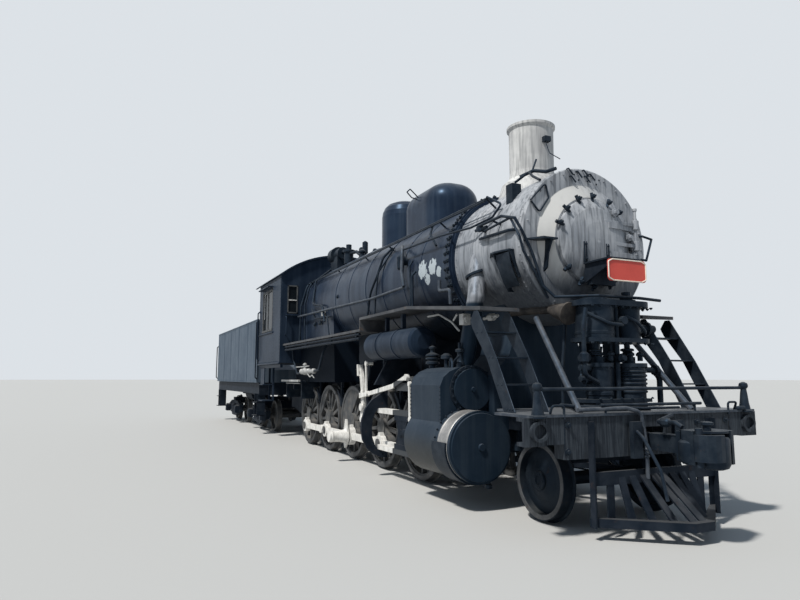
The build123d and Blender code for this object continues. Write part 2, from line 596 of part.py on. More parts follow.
def coupler(shank_length):
    shank = block((-shank_length, -330), (-75, 75), (COUPLER_Z - 80, COUPLER_Z + 80))
    horn = block((-400, -350), (-150, 150), (COUPLER_Z - 135, COUPLER_Z + 135))
    head = flat_plate([(-355, -110), (-355, 100), (-300, 185), (-150, 215), (-75, 210), (-62, 165), (-150, 140),
                       (-215, 95), (-225, -20), (-170, -60), (-165, -195), (-300, -190)],
                      (COUPLER_Z - 150, COUPLER_Z + 150))
    knuckle = flat_plate([(-205, -190), (-110, -192), (-45, -160), (-8, -100), (0, -45), (-6, 10), (-32, 42),
                          (-62, 42), (-82, 0), (-95, -60), (-140, -80), (-205, -80)],
                         (COUPLER_Z - 118, COUPLER_Z + 118))
    pin = disc_z(-150, -140, 34, (COUPLER_Z - 170, COUPLER_Z + 175))
    return shank + [horn, head, knuckle, pin]


place(Pos(COUPLER_FRONT, 0, 0) * coupler(COUPLER_FRONT - BEAM_X + 150), "front_coupler")

# Pilot: end posts, a deep top bar, flat slats and a heavy base bent to the toe
TOE_X = 7000.0
PILOT_BASE_Z = (95.0, 175.0)
SLAT_TOP = (BEAM_X + 30, 540.0)
base_front = [(BEAM_X, -830), (TOE_X - 130, -290), (TOE_X, -120), (TOE_X, 120), (TOE_X - 130, 290),
              (BEAM_X, 830)]
base_back = [(BEAM_X, 745), (TOE_X - 210, 235), (TOE_X - 90, 85), (TOE_X - 90, -85), (TOE_X - 210, -235),
             (BEAM_X, -745)]
pilot_pieces = [flat_plate(base_front + base_back, PILOT_BASE_Z),
                block((BEAM_X + 2, BEAM_X + 42), (-805, 805), (465, 590))]
for side in (-1, 1):
    pilot_pieces.append(block((BEAM_X, BEAM_X + 16), sorted((side * 750, side * 820)), (90, 1060)))
    pilot_pieces.append(block((BEAM_X, BEAM_X + 70), sorted((side * 804, side * 820)), (90, 1060)))
    for step in range(5):
        y_foot = side * (55 + 132 * step)
        x_foot = TOE_X - 55 if step == 0 else TOE_X - 75 - 0.96 * (abs(y_foot) - 100)
        foot = (x_foot, y_foot, PILOT_BASE_Z[1] - 25)
        pilot_pieces.append(flat_bar(foot, (SLAT_TOP[0], y_foot * 1.05, SLAT_TOP[1]), 82, 18))
place(pilot_pieces[0] + pilot_pieces[1:], "pilot")

# Air pump: two steam cylinders over two air cylinders
PUMP_X = 5900.0
STEAM_SIDE = {"large": (-215.0, 205.0), "small": (235.0, 150.0)}
AIR_SIDE = {"small": (-180.0, 135.0), "large": (250.0, 170.0)}
pump = [extrude(Plane.XY.offset(z[0]) * Pos(PUMP_X, 0) * RectangleRounded(430, 960, 214), amount=z[1] - z[0])
        for z in ((1215, 1250), (1850, 1895), (2240, 2300))]
for y, radius in STEAM_SIDE.values():
    pump.append(disc_z(PUMP_X, y, radius, (1895, 2240)))
    pump.append(disc_z(PUMP_X, y, radius * 0.75, (2300, 2330)))
    pump.append(disc_z(PUMP_X, y, 32, (1600, 1850)))
for y, radius in AIR_SIDE.values():
    pump.append(disc_z(PUMP_X, y, radius, (1250, 1600)))
    pump.append(disc_z(PUMP_X, y, radius + 22, (1590, 1630)))
    pump.append(disc_z(PUMP_X, y, 70, (1630, 1700)))
pump.append(block((PUMP_X - 60, PUMP_X + 60), (-60, 60), (1250, 1850)))
pump.append(block((PUMP_X - 200, PUMP_X + 120), (-380, -340), (DECK_TOP, 1215)))
pump.append(block((PUMP_X - 200, PUMP_X + 120), (340, 380), (DECK_TOP, 1215)))
place(pump[0] + pump[1:], "air_pump")

# Slanting braces from the smokebox to the deck
brace = bar((5384, 600, 2145), (6260, 760, DECK_TOP), 32) - disc_x(0, BOILER_Z, SMOKEBOX_R, (5300, 5532))
brace = brace - block((6000, 6500), (500, 900), (1000, DECK_TOP))
place(both_sides(brace), "smokebox_braces")

# Rail across the beam on two posts
front_rail = bar((BEAM_X - 20, -1394, 1366), (BEAM_X - 20, 1394, 1366), 17)
rail_posts = [turned_z([(0, DECK_TOP), (32, DECK_TOP), (20, 1340), (26, 1345), (26, 1390), (0, 1390)],
                       BEAM_X - 20, side * 1394) for side in (-1, 1)]
place(front_rail + rail_posts, "front_rail")


# Crosshead guides: an upper and a lower bar on each side, and the faces that the crosshead slides on
GUIDE_GAP = {"top": 930.0, "bottom": 452.0}
GUIDE_T = 72.0
GUIDE_TOP = GUIDE_GAP["top"] + GUIDE_T
GUIDE_BOTTOM = GUIDE_GAP["bottom"] - GUIDE_T

# Guide yoke: a hoop outside each side rod, hung from a plate across the engine
YOKE_X = (2090.0, 2140.0)


def yoke_side():
    outer = [(1030, 1400), (1100, 1400), (1110, 1250), (1200, 1190), (1294, 1128), (1392, 1009), (1456, 830),
             (1465, 680), (1437, 530), (1370, 408), (1288, 330), (1156, 264), (1030, 262)]
    inner = [(1020, GUIDE_TOP), (1190, GUIDE_TOP), (1238, 940), (1278, 840), (1291, 705), (1285, 569), (1239, 450),
             (1190, GUIDE_BOTTOM), (1020, GUIDE_BOTTOM)]
    return front_plate(outer, YOKE_X) - front_plate(inner, (YOKE_X[0] - 5, YOKE_X[1] + 5))


yoke_sheet = front_plate([(-1250, 1360), (1250, 1360), (1000, 1800), (500, 1960), (-500, 1960), (-1000, 1800)],
                         YOKE_X)
rod_windows = [block((YOKE_X[0] - 5, YOKE_X[1] + 5), sorted((side * 1118, side * 1200)), (1228, 1330))
                for side in (-1, 1)]
yoke_posts = [block(YOKE_X, sorted((side * FRAME_IN, side * FRAME_OUT)), (FRAME_TOP, 1360)) for side in (-1, 1)]
yoke = (yoke_sheet + yoke_posts + both_sides(yoke_side())) - rod_windows
place(yoke, "guide_yoke")

guides = []
for side in (-1, 1):
    y = sorted((side * (CYL_Y - 60), side * (CYL_Y + 60)))
    guides.append(block((YOKE_X[0], CYL_BACK - 30), y, (GUIDE_GAP["top"], GUIDE_TOP)))
    guides.append(block((YOKE_X[0], CYL_BACK - 30), y, (GUIDE_BOTTOM, GUIDE_GAP["bottom"])))
place(guides, "crosshead_guides")


# Crosshead between the guides, with its piston rod
def crosshead():
    x = 2960.0
    length = (x - 230, x + 230)
    width = (CYL_Y - 62, CYL_Y + 62)
    upper = block(length, width, (GUIDE_GAP["top"] - 75, GUIDE_GAP["top"] - 1))
    lower = block(length, width, (GUIDE_GAP["bottom"] + 1, GUIDE_GAP["bottom"] + 75))
    cheek = side_plate([(x - 190, GUIDE_GAP["top"] - 70), (x + 190, GUIDE_GAP["top"] - 70), (x + 110, CYL_Z),
                        (x + 190, GUIDE_GAP["bottom"] + 70), (x - 190, GUIDE_GAP["bottom"] + 70),
                        (x - 110, CYL_Z)], (CYL_Y - 55, CYL_Y + 55))
    neck = disc_x(CYL_Y, CYL_Z, 85, (x + 60, x + 260))
    rod = disc_x(CYL_Y, CYL_Z, 45, (x + 200, 4300))
    pin = disc_y(x, CYL_Z, 48, (CYL_Y - 70, CYL_Y + 75))
    return upper + [lower, cheek, neck, rod, pin]


place(mirrored(crosshead()), "crosshead_right")
place(crosshead(), "crosshead_left")


# Outside valve gear: curved link, radius rod, lifting arm and combination lever
def valve_gear():
    y = (1085, 1135)
    link = side_plate([(1100, 1690), (1190, 1690), (1275, 1480), (1340, 1250), (1362, 1040), (1310, 770),
                       (1240, 750), (1215, 790), (1262, 1040), (1240, 1250), (1180, 1480)], y)
    slot = side_plate([(1160, 1610), (1205, 1560), (1250, 1420), (1300, 1230), (1315, 1060), (1290, 1060),
                       (1275, 1220), (1215, 1420), (1170, 1540)], (1080, 1140))
    cheeks = [side_plate([(1095, 1695), (1165, 1695), (1180, 1500), (1120, 1500)], (1135, 1160)),
              disc_y(1300, 980, 62, (1135, 1165)), disc_y(1275, 785, 48, (1070, 1150))]
    die = block((1235, 1335), (1080, 1140), (1140, 1250))
    radius_rod = side_plate([(1240, 1130), (1240, 1215), (1560, 1232), (2610, 1378), (3090, 1512), (3115, 1460),
                             (2620, 1310), (1570, 1172)], (1140, 1168))
    rod_end = disc_y(3085, 1475, 46, (1120, 1172))
    hanger = block((3060, 3110), (VALVE_Y - 40, 1128), (1380, 1490))
    stem = bar((3000, VALVE_Y, VALVE_Z), (GLAND_BACK, VALVE_Y, VALVE_Z), 28)
    stem_guide = block((2700, 3280), (VALVE_Y - 60, 1132), (VALVE_Z - 52, VALVE_Z + 60))
    lever = side_plate([(3305, 1400), (3350, 1400), (3362, 905), (3325, 905)], (1205, 1230))
    lever_foot = disc_y(3344, 905, 34, (1200, 1234))
    lever_head = disc_y(3328, 1385, 36, (1200, 1234))
    lever_pin = disc_y(3328, 1385, 26, (1050, 1200))
    stem_fork = block((3260, 3380), (VALVE_Y - 40, 1110), (VALVE_Z - 30, VALVE_Z + 80))
    lifter = side_plate([(1565, 1720), (1598, 1720), (1630, 1200), (1585, 1200)], (1168, 1190))
    lifter_head = disc_y(1582, 1700, 42, (1160, 1190))
    lifter_foot = disc_y(1607, 1212, 44, (1130, 1196))
    reach = bar((1582, 1060, 1700), (1582, 1165, 1700), 26)
    return (link - slot) + cheeks + [die, radius_rod, rod_end, hanger, stem, stem_guide, lever, lever_foot,
                                     lever_head, lever_pin, stem_fork, lifter, lifter_head, lifter_foot, reach]


place(both_sides(valve_gear()), "valve_gear")

# Link brackets, hung below the running boards
bracket = side_plate([(950, BOARD_LOW - BOARD_T), (1860, BOARD_LOW - BOARD_T), (1860, 1780), (1480, 1700),
                      (1370, 1420), (1150, 1420), (950, 1780)], (1035, 1060))
link_pin = disc_y(1240, 1475, 40, (1055, 1085))
place(both_sides(bracket + link_pin), "link_brackets")

# Cab: front, sides, roof and floor as panels
def arch(half_width, spring, peak):
    """Closed outline of (y, z) with a straight foot at the spring line and an arc above."""
    left, right = (-half_width, spring), (half_width, spring)
    return make_face(Wire([ThreePointArc(left, (0, peak), right).edge(), Line(right, left).edge()]))


outer_arch = extrude(Plane.YZ.offset(CAB_REAR - 420) * arch(CAB_Y + 50, CAB_EAVE - 20, CAB_PEAK),
                     amount=CAB_FRONT + 60 - (CAB_REAR - 420))
inner_outline = arch(CAB_Y + 50, CAB_EAVE - 20 - CAB_WALL, CAB_PEAK - CAB_WALL)
inner_arch = extrude(Plane.YZ.offset(CAB_REAR - 430) * inner_outline,
                     amount=CAB_FRONT + 80 - (CAB_REAR - 430))
roof_top = outer_arch - inner_arch
place(roof_top, "cab_roof")

under_roof = block((CAB_REAR - 20, CAB_FRONT + 20), (-CAB_Y - 5, CAB_Y + 5),
                   (CAB_FLOOR - 5, CAB_EAVE - 20 - CAB_WALL)) + inner_arch
front_wall = block((CAB_FRONT - CAB_WALL, CAB_FRONT), (-CAB_Y, CAB_Y), (CAB_FLOOR, CAB_PEAK)) & under_roof
front_windows = [block((CAB_FRONT - 60, CAB_FRONT + 20), sorted((side * 1080, side * 1330)), (2958, 3621))
                 for side in (-1, 1)]
boiler_hole = disc_x(0, BOILER_Z, 1015, (CAB_FRONT - 60, CAB_FRONT + 20)) + wrapper_sides
front_wall = front_wall - front_windows
front_wall = front_wall - boiler_hole
place(front_wall, "cab_front")

side_wall = block((CAB_REAR, CAB_FRONT - CAB_WALL), (CAB_Y - CAB_WALL, CAB_Y), (CAB_FLOOR, CAB_EAVE)) & under_roof
side_wall = side_wall - block((-5000, -3900), (CAB_Y - 60, CAB_Y + 20), (2600, 3640))
place(side_wall, "cab_side_left")
place(mirrored(side_wall), "cab_side_right")

cab_floor = block((CAB_REAR, CAB_FRONT - CAB_WALL), (-CAB_Y + CAB_WALL, CAB_Y - CAB_WALL),
                  (CAB_FLOOR, CAB_FLOOR + 40))
place(cab_floor - boiler_space, "cab_floor")

# Tank: shell with a coal space open at the top and front
tank = block((TANK_REAR, TANK_FRONT), (-TANK_Y, TANK_Y), (TANK_BOTTOM, TANK_TOP))
coal = side_plate([(-9300, TANK_TOP + 10), (-9300, 2900), (-6300, TANK_BOTTOM + 340),
                   (TANK_FRONT + 10, TANK_BOTTOM + 340), (TANK_FRONT + 10, TANK_TOP + 10)], (-1050, 1050))
hatch_hole = block((-11600, -11000), (-420, 420), (TANK_TOP - 300, TANK_TOP + 10))
HATCH_PIN_X = -11700.0
HATCH_PIN_Z = TANK_TOP + 45
HATCH_PIN_R = 12.0
hatch_lugs = []
for side in (-1, 1):
    y = sorted((side * 75, side * 100))
    hatch_lugs.append(side_plate([(HATCH_PIN_X - 40, TANK_TOP - 5), (HATCH_PIN_X + 40, TANK_TOP - 5),
                                  (HATCH_PIN_X + 22, HATCH_PIN_Z + 22), (HATCH_PIN_X - 22, HATCH_PIN_Z + 22)], y))
hatch_pin = disc_y(HATCH_PIN_X, HATCH_PIN_Z, HATCH_PIN_R, (-95, 95))
place((tank - [coal, hatch_hole]) + hatch_lugs + [hatch_pin], "tender_tank")

# Hatch lid with its hinge at the rear
lid = block((-11655, -10950), (-470, 470), (TANK_TOP + 6, TANK_TOP + 40))
lid = lid + block((HATCH_PIN_X, -11640), (-60, 60), (TANK_TOP + 25, TANK_TOP + 40))
lid = lid + disc_y(HATCH_PIN_X, HATCH_PIN_Z, 24, (-60, 60))
place(lid - disc_y(HATCH_PIN_X, HATCH_PIN_Z, HATCH_PIN_R + PIN_PLAY, (-70, 70)), "tender_hatch")

# Tender frame: side sills, centre sill, end beams and bolsters
sills = [block((TANK_REAR - 60, TANK_FRONT - 40), sorted((side * 1300, side * 1400)), (1035, TANK_BOTTOM))
         for side in (-1, 1)]
centre = block((TANK_REAR - 60, TANK_FRONT - 40), (-180, 180), (1010, TANK_BOTTOM))
ends = [block(x, (-1400, 1400), (1000, TANK_BOTTOM)) for x in ((TANK_REAR - 140, TANK_REAR - 60),
                                                               (TANK_FRONT - 120, TANK_FRONT - 40))]
bolsters = [block((x - 180, x + 180), (-1300, 1300), (1060, TANK_BOTTOM)) for x in TENDER_TRUCKS.values()]
centre_posts = [disc_z(x, 0, 160, (905, 1010)) for x in TENDER_TRUCKS.values()]
place(centre + sills + ends + bolsters + centre_posts, "tender_frame")

# Drawbar between engine and tender
drawbar = block((-5850, DRAWBAR_PIN_X), (-75, 75), (800, 880)) + disc_z(DRAWBAR_PIN_X, 0, 110, (800, 880))
drawbar = drawbar + block((-6050, -5720), (-160, 160), (800, 1010))
drawbar = drawbar + disc_z(DRAWBAR_PIN_X, 0, 45, (705, 995))
place(drawbar, "drawbar")

# Rear coupler
rear_length = TANK_REAR - 140 - COUPLER_REAR
place(Pos(COUPLER_REAR, 0, 0) * Rot(0, 0, 180) * coupler(rear_length), "rear_coupler")


# Tender trucks: side frames outside the wheels, joined by a bolster
def truck_frame(x):
    pieces = []
    for side in (-1, 1):
        y = sorted((side * 960, side * 1080))
        outline = [(x - 1020, 330), (x - 1020, 560), (x - 500, 690), (x + 500, 690), (x + 1020, 560), (x + 1020, 330),
                   (x + 640, 330), (x + 330, 190), (x - 330, 190), (x - 640, 330)]
        window = [(x - 560, 400), (x - 300, 590), (x + 300, 590), (x + 560, 400), (x + 300, 280), (x - 300, 280)]
        plate = side_plate(outline, y) - side_plate(window, (y[0] - 5, y[1] + 5))
        springs = block((x - 180, x + 180), y, (280, 600))
        pieces.append(plate + springs)
        for end in (-1, 1):
            journal = disc_y(x + end * TRUCK_HALF_BASE, TENDER_R, SMALL_AXLE_R + PIN_PLAY, (y[0] - 10, y[1] + 10))
            pieces[-1] = pieces[-1] - journal
    bolster = block((x - 160, x + 160), (-1080, 1080), (590, 800))
    plate = disc_z(x, 0, 170, (800, 900))
    return pieces[0] + [pieces[1], bolster, plate]


for name, truck_x in TENDER_TRUCKS.items():
    place(truck_frame(truck_x), f"tender_truck_{name}")
    for end, offset in (("a", TRUCK_HALF_BASE), ("b", -TRUCK_HALF_BASE)):
        place(Pos(truck_x + offset, 0, TENDER_R) * plain_wheelset(TENDER_R, SMALL_AXLE_R, 1070),
              f"tender_wheelset_{name}_{end}")
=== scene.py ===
"""Steam locomotive with its tender: paint, timber, pipes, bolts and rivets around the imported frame.

Places are in metres: along x from the main axle, along y from the centre line and along z from the rail top.
ROW moves them into the shared frame. Each assembly is written for the right side, and BOTH mirrors it.
"""
from __future__ import annotations

import logging
import math
from dataclasses import dataclass
from enum import Enum
from functools import reduce
from typing import Iterator, Sequence

import bmesh
import bpy
from mathutils import Matrix, Vector


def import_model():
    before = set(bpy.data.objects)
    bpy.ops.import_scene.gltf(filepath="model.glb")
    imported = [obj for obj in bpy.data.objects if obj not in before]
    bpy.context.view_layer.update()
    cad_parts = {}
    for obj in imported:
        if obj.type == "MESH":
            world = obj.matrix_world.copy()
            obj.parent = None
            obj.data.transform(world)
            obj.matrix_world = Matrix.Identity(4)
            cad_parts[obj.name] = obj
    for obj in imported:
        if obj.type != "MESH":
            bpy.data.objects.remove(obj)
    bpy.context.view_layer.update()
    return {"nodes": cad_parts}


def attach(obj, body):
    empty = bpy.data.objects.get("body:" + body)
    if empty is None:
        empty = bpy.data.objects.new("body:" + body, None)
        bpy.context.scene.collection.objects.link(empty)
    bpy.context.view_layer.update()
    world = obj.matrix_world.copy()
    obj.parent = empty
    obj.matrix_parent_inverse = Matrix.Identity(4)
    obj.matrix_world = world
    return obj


LOG = logging.getLogger("locomotive")

Point = Sequence[float]
Pairs = Sequence[tuple[float, float]]
Colour = tuple[float, float, float]
Socket = bpy.types.NodeSocket

ROW = Vector((2.980, 0.0, 0.028))
DRIVER_XS = {1: 2.8448, 2: 1.4224, 3: 0.0, 4: -1.4224, 5: -2.8448}
DRIVER_R = 0.66
BOILER_Z = 3.017
SMOKEBOX_R = 0.898
UP, DOWN, AHEAD, BACK, RIGHT, LEFT = (0, 0, 1), (0, 0, -1), (1, 0, 0), (-1, 0, 0), (0, -1, 0), (0, 1, 0)
BOTH = (1.0, -1.0)
CRISP_DEGREES = 35.0
BEVEL_DEGREES = 40.0


class Slot(Enum):
    """Material slots of the record."""

    BLACK = "black_paint"
    GRAPHITE = "graphite"
    WHITE = "white_paint"
    WHEEL = "wheel"
    WOOD = "beam_wood"
    RED = "plate_red"
    TENDER = "tender_paint"
    STEEL = "bare_steel"


class Axis(Enum):
    """Directions that extruded outlines and bolt circles follow."""

    X = Vector((1, 0, 0))
    Y = Vector((0, 1, 0))
    Z = Vector((0, 0, 1))


class NodeTree:
    """Nodes of a material or of the sky."""

    def __init__(self, tree: bpy.types.NodeTree) -> None:
        """Hold the tree that the nodes go into."""
        self.tree = tree

    def set(self, socket: Socket, value: object) -> None:
        """Join a socket to another one, or write a plain value on it."""
        if isinstance(value, bpy.types.NodeSocket):
            self.tree.links.new(value, socket)
        else:
            socket.default_value = (*value, 1.0) if socket.type == "RGBA" else value

    def node(self, kind: str, inputs: dict[str | int, object], **settings: str) -> bpy.types.Node:
        """Add a shader node.

        Args:
            kind: Its type, without the prefix.
            inputs: What each socket is joined to or set to, by name or place.
            settings: Choices of the node itself.

        Returns:
            The new node.
        """
        node = self.tree.nodes.new("ShaderNode" + kind)
        for name, choice in settings.items():
            setattr(node, name, choice)
        for key, value in inputs.items():
            self.set(node.inputs[key], value)
        return node

    def sum(self, operation: str, *values: object) -> Socket:
        """One step of arithmetic."""
        return self.node("Math", dict(enumerate(values)), operation=operation).outputs["Value"]

    def times(self, *values: object) -> Socket:
        """Product of several values."""
        return reduce(lambda first, second: self.sum("MULTIPLY", first, second), values)


class NodeBench(NodeTree):
    """One material on the bench, with the colour, roughness and height that its layers have given so far."""

    def __init__(self, name: str) -> None:
        """Start a material with its principled shader."""
        self.material = bpy.data.materials.new(name)
        self.material.use_nodes = True
        super().__init__(self.material.node_tree)
        self.shader = self.tree.nodes["Principled BSDF"]
        self.place = self.node("TexCoord", {}).outputs["Object"]
        self.colour: Socket | None = None
        self.rough: Socket | None = None
        self.height: Socket | None = None

    def noise(self, scale: float, stretch: Point = (1, 1, 1), detail: float = 4.0,
              shift: float = 0.0) -> Socket:
        """Noise over the piece.

        Args:
            scale: Features per metre.
            stretch: Scale along each direction.
            detail: Number of finer octaves.
            shift: Moves the pattern, so that two layers differ.

        Returns:
            The noise value, about 0.5 on average.
        """
        mapped = {"Vector": self.place, "Location": (shift,) * 3, "Scale": stretch}
        spot = self.node("Mapping", mapped).outputs[0]
        looks = {"Vector": spot, "Scale": scale, "Detail": detail, "Roughness": 0.6}
        return self.node("TexNoise", looks).outputs["Fac"]

    def step(self, value: Socket, low: float, high: float, amount: float = 1.0) -> Socket:
        """Rise smoothly from 0 at low to amount at high."""
        limits = {"Value": value, "From Min": low, "From Max": high, "To Min": 0.0, "To Max": amount}
        return self.node("MapRange", limits, interpolation_type="SMOOTHSTEP").outputs["Result"]

    def mix(self, share: object, first: object, second: object) -> Socket:
        """Blend two colours; places 6 and 7 of the node take them, and its third output gives them."""
        return self.node("Mix", {0: share, 6: first, 7: second}, data_type="RGBA").outputs[2]

    def facing_up(self) -> Socket:
        """How far the surface faces the sky, from -1 to 1."""
        normal = self.node("NewGeometry", {}).outputs["Normal"]
        return self.node("SeparateXYZ", {"Vector": normal}).outputs["Z"]

    def along(self, axis: Axis) -> Socket:
        """Place along one direction, measured as the sizes here are."""
        part = self.node("SeparateXYZ", {"Vector": self.place}).outputs[axis.name]
        return self.sum("SUBTRACT", part, ROW.dot(axis.value))

    def distance(self, centre: Point, weights: Point = (1, 1, 1)) -> Socket:
        """Distance from a point, with each direction weighted."""
        spot = self.node("Mapping", {"Vector": self.place, "Scale": weights}).outputs[0]
        aim = [(c + r) * w for c, r, w in zip(centre, ROW, weights)]
        return self.node("VectorMath", {0: spot, 1: aim}, operation="DISTANCE").outputs["Value"]

    def cover(self, share: object, colour: object) -> None:
        """Lay a colour over those so far."""
        self.colour = self.mix(share, self.colour, colour)

    def roughen(self, share: Socket, rough: float) -> None:
        """Make the surface at least this rough where the share is 1."""
        self.rough = self.sum("MAXIMUM", self.rough, self.times(share, rough))


@dataclass(frozen=True)
class Finish:
    """A paint, metal or timber with its weather.

    Shares run from 0 to 1, and scales are features per metre.
    """

    name: str
    slot: Slot
    colour: Colour
    second: Colour
    rough: tuple[float, float] = (0.35, 0.6)
    metal: float = 0.0
    grain: float = 3.0
    streak: float = 0.0
    streak_colour: Colour = (0.1, 0.1, 0.1)
    streak_scale: float = 16.0
    dust: float = 0.0
    dust_colour: Colour = (0.22, 0.19, 0.15)
    rust: float = 0.0
    rust_colour: Colour = (0.10, 0.045, 0.022)
    bump: float = 0.15
    depth: float = 0.002
    tint: Colour = (1.0, 1.0, 1.0)
    specular: float = 0.24

    def layers(self, bench: NodeBench) -> None:
        """Lay on two shades, then streaks, dust on what faces up, and rust spots."""
        broad = bench.noise(self.grain, shift=1.7)
        fine = bench.noise(self.grain * 9.0, detail=6.0, shift=5.1)
        bench.colour = bench.mix(bench.step(broad, 0.35, 0.68), self.colour, self.second)
        bench.rough = bench.sum("MULTIPLY_ADD", fine, self.rough[1] - self.rough[0], self.rough[0])
        bench.height = fine
        if self.streak:
            runs = bench.noise(self.streak_scale, (1, 1, 0.06), 5.0, 3.3)
            bench.cover(bench.step(runs, 0.44, 0.66, self.streak), self.streak_colour)
        if self.dust:
            ledges = bench.sum("MULTIPLY_ADD", broad, 0.5, bench.facing_up())
            bench.cover(bench.step(ledges, 0.75, 1.35, self.dust), self.dust_colour)
        if self.rust:
            pits = bench.noise(self.grain * 2.2, detail=9.0, shift=9.4)
            spots = bench.step(pits, 0.66 - 0.22 * self.rust, 0.74)
            bench.cover(bench.times(spots, min(1.0, self.rust * 2)), self.rust_colour)
            bench.roughen(spots, 0.85)
            bench.height = bench.sum("MULTIPLY_ADD", spots, 0.4, bench.height)

    def marks(self, bench: NodeBench) -> None:
        """Marks of one special finish; a plain one has none."""

    def material(self) -> bpy.types.Material:
        """The finish as a material, made once."""
        found = bpy.data.materials.get(self.name)
        if found:
            return found
        bench = NodeBench(self.name)
        self.layers(bench)
        self.marks(bench)
        relief = bench.node("Bump", {"Strength": self.bump, "Distance": self.depth, "Height": bench.height})
        looks = {"Base Color": bench.colour, "Roughness": bench.rough, "Metallic": self.metal,
                 "Specular IOR Level": self.specular, "Specular Tint": self.tint,
                 "Normal": relief.outputs["Normal"]}
        for name, value in looks.items():
            bench.set(bench.shader.inputs[name], value)
        return bench.material


@dataclass(frozen=True)
class BoilerPaint(Finish):
    """Gloss black, pale where it has peeled off the right side, with painted shade underneath.

    A patch is a place and a reach.
    """

    patches: tuple[tuple[float, float, float, float], ...] = (
        (3.20, -0.95, 3.02, 0.30), (3.50, -0.95, 3.02, 0.27), (3.32, -0.94, 2.86, 0.20),
        (3.68, -0.95, 2.92, 0.17))
    bare: Colour = (0.42, 0.47, 0.50)
    shade_z: float = 2.42
    painted_shade: Colour = (0.004, 0.006, 0.010)

    def marks(self, bench: NodeBench) -> None:
        """Peeled flakes round the given places, and painted shade below one height."""
        flakes = bench.noise(16.0, (1, 1, 0.6), 9.0, 2.2)
        for *centre, reach in self.patches:
            near = bench.step(bench.distance(centre), reach, 0.0)
            peeled = bench.step(bench.times(near, flakes), 0.31, 0.335)
            bench.cover(peeled, self.bare)
            bench.roughen(peeled, 0.7)
        # painted shade under the boiler: darker and rougher below one height
        low_shade = bench.step(bench.along(Axis.Z), self.shade_z, self.shade_z - 0.3)
        bench.cover(low_shade, self.painted_shade)
        bench.roughen(low_shade, 0.8)


@dataclass(frozen=True)
class GraphitePaint(Finish):
    """Graphite with painted shade that darkens it near the bottom."""

    shade_z: float = 2.96
    painted_shade: Colour = (0.050, 0.060, 0.075)

    def marks(self, bench: NodeBench) -> None:
        """Ragged painted shade below one height."""
        ragged = bench.sum("MULTIPLY_ADD", bench.noise(9.0, (1, 1, 0.12)), 0.9, bench.along(Axis.Z))
        # painted shade: darkens the lower sides of the tube below one height
        bench.cover(bench.step(ragged, self.shade_z + 0.5, self.shade_z - 0.05, 0.85), self.painted_shade)


@dataclass(frozen=True)
class FrontPaint(GraphitePaint):
    """Graphite with the white bevel band round the door seat; painted light shows it whitest at the upper
    right.
    """

    band: tuple[float, float] = (0.530, 0.700)
    sunlit_spot: Point = (0.0, -0.55, BOILER_Z + 0.35)
    white: Colour = (0.50, 0.50, 0.49)
    dirty: Colour = (0.32, 0.325, 0.33)

    def marks(self, bench: NodeBench) -> None:
        """White between the two radii of the band, with painted light that fades it away from one side."""
        super().marks(bench)
        radius = bench.distance((0.0, 0.0, BOILER_Z), (0, 1, 1))
        beyond = bench.step(radius, self.band[0] - 0.004, self.band[0])
        within = bench.step(radius, self.band[1] + 0.004, self.band[1])
        # painted light: the white band shows only near the sunlit spot and fades to graphite away from it
        painted_light = bench.step(bench.distance(self.sunlit_spot, (0, 1, 1)), 0.95, 0.40)
        worn = bench.step(bench.noise(7.0, (1, 1, 0.2)), 0.5, 0.8, 0.4)
        bench.cover(bench.times(beyond, within, painted_light), bench.mix(worn, self.white, self.dirty))


@dataclass(frozen=True)
class GearPaint(Finish):
    """Chalk white that gives way to dark iron ahead of and below a corner, up to the lever ahead."""

    corner: tuple[float, float] = (2.66, 1.435)
    lever_x: float = 3.30
    iron: Colour = (0.045, 0.050, 0.056)

    def marks(self, bench: NodeBench) -> None:
        """Dark iron between the corner and the lever, with sharp edges."""
        x = bench.along(Axis.X)
        ahead = bench.step(x, self.corner[0], self.corner[0] + 0.01)
        behind = bench.step(x, self.lever_x, self.lever_x - 0.01)
        below = bench.step(bench.along(Axis.Z), self.corner[1], self.corner[1] - 0.01)
        bench.cover(bench.times(ahead, behind, below), self.iron)


@dataclass(frozen=True)
class CasingPaint(Finish):
    """Blue-black that is graphite on the steam pipes above, with a painted brown ground reflection below,
    save on the heads.
    """

    pipe_z: float = 2.36
    reflection_z: float = 0.90
    head_x: float = 4.62
    ground_reflection: Colour = (0.060, 0.055, 0.040)
    graphite: Colour = (0.27, 0.285, 0.31)
    washed: Colour = (0.10, 0.11, 0.125)

    def marks(self, bench: NodeBench) -> None:
        """Graphite above one height and a painted brown ground reflection below another."""
        z = bench.along(Axis.Z)
        jacket = bench.step(bench.along(Axis.X), self.head_x, self.head_x - 0.02)
        # painted reflection of the brown ground on the jacket's lower part
        bench.cover(bench.times(bench.step(z, self.reflection_z, self.reflection_z - 0.5), jacket, 0.6), self.ground_reflection)
        runs = bench.step(bench.noise(20.0, (1, 1, 0.08), 5.0), 0.44, 0.62, 0.8)
        bench.cover(bench.step(z, self.pipe_z, self.pipe_z + 0.05),
                    bench.mix(runs, self.graphite, self.washed))


@dataclass(frozen=True)
class Timber(Finish):
    """Painted planks with grain along one direction."""

    along: Point = (0.05, 0.05, 1.0)
    crack: Colour = (0.006, 0.006, 0.007)

    def layers(self, bench: NodeBench) -> None:
        """Grain lines, dark cracks and bare wood where the paint is worn."""
        grain = bench.noise(60.0, self.along, 6.0)
        worn = bench.noise(2.2, detail=5.0, shift=4.0)
        cracks = bench.step(bench.noise(34.0, self.along, 3.0, 8.0), 0.36, 0.30)
        bench.colour = bench.mix(bench.step(grain, 0.4, 0.65), self.colour, self.second)
        bench.cover(bench.step(worn, 0.55, 0.75, 0.5), self.streak_colour)
        bench.cover(cracks, self.crack)
        bench.rough = bench.sum("MULTIPLY_ADD", grain, 0.25, self.rough[0])
        bench.height = bench.sum("SUBTRACT", grain, cracks)


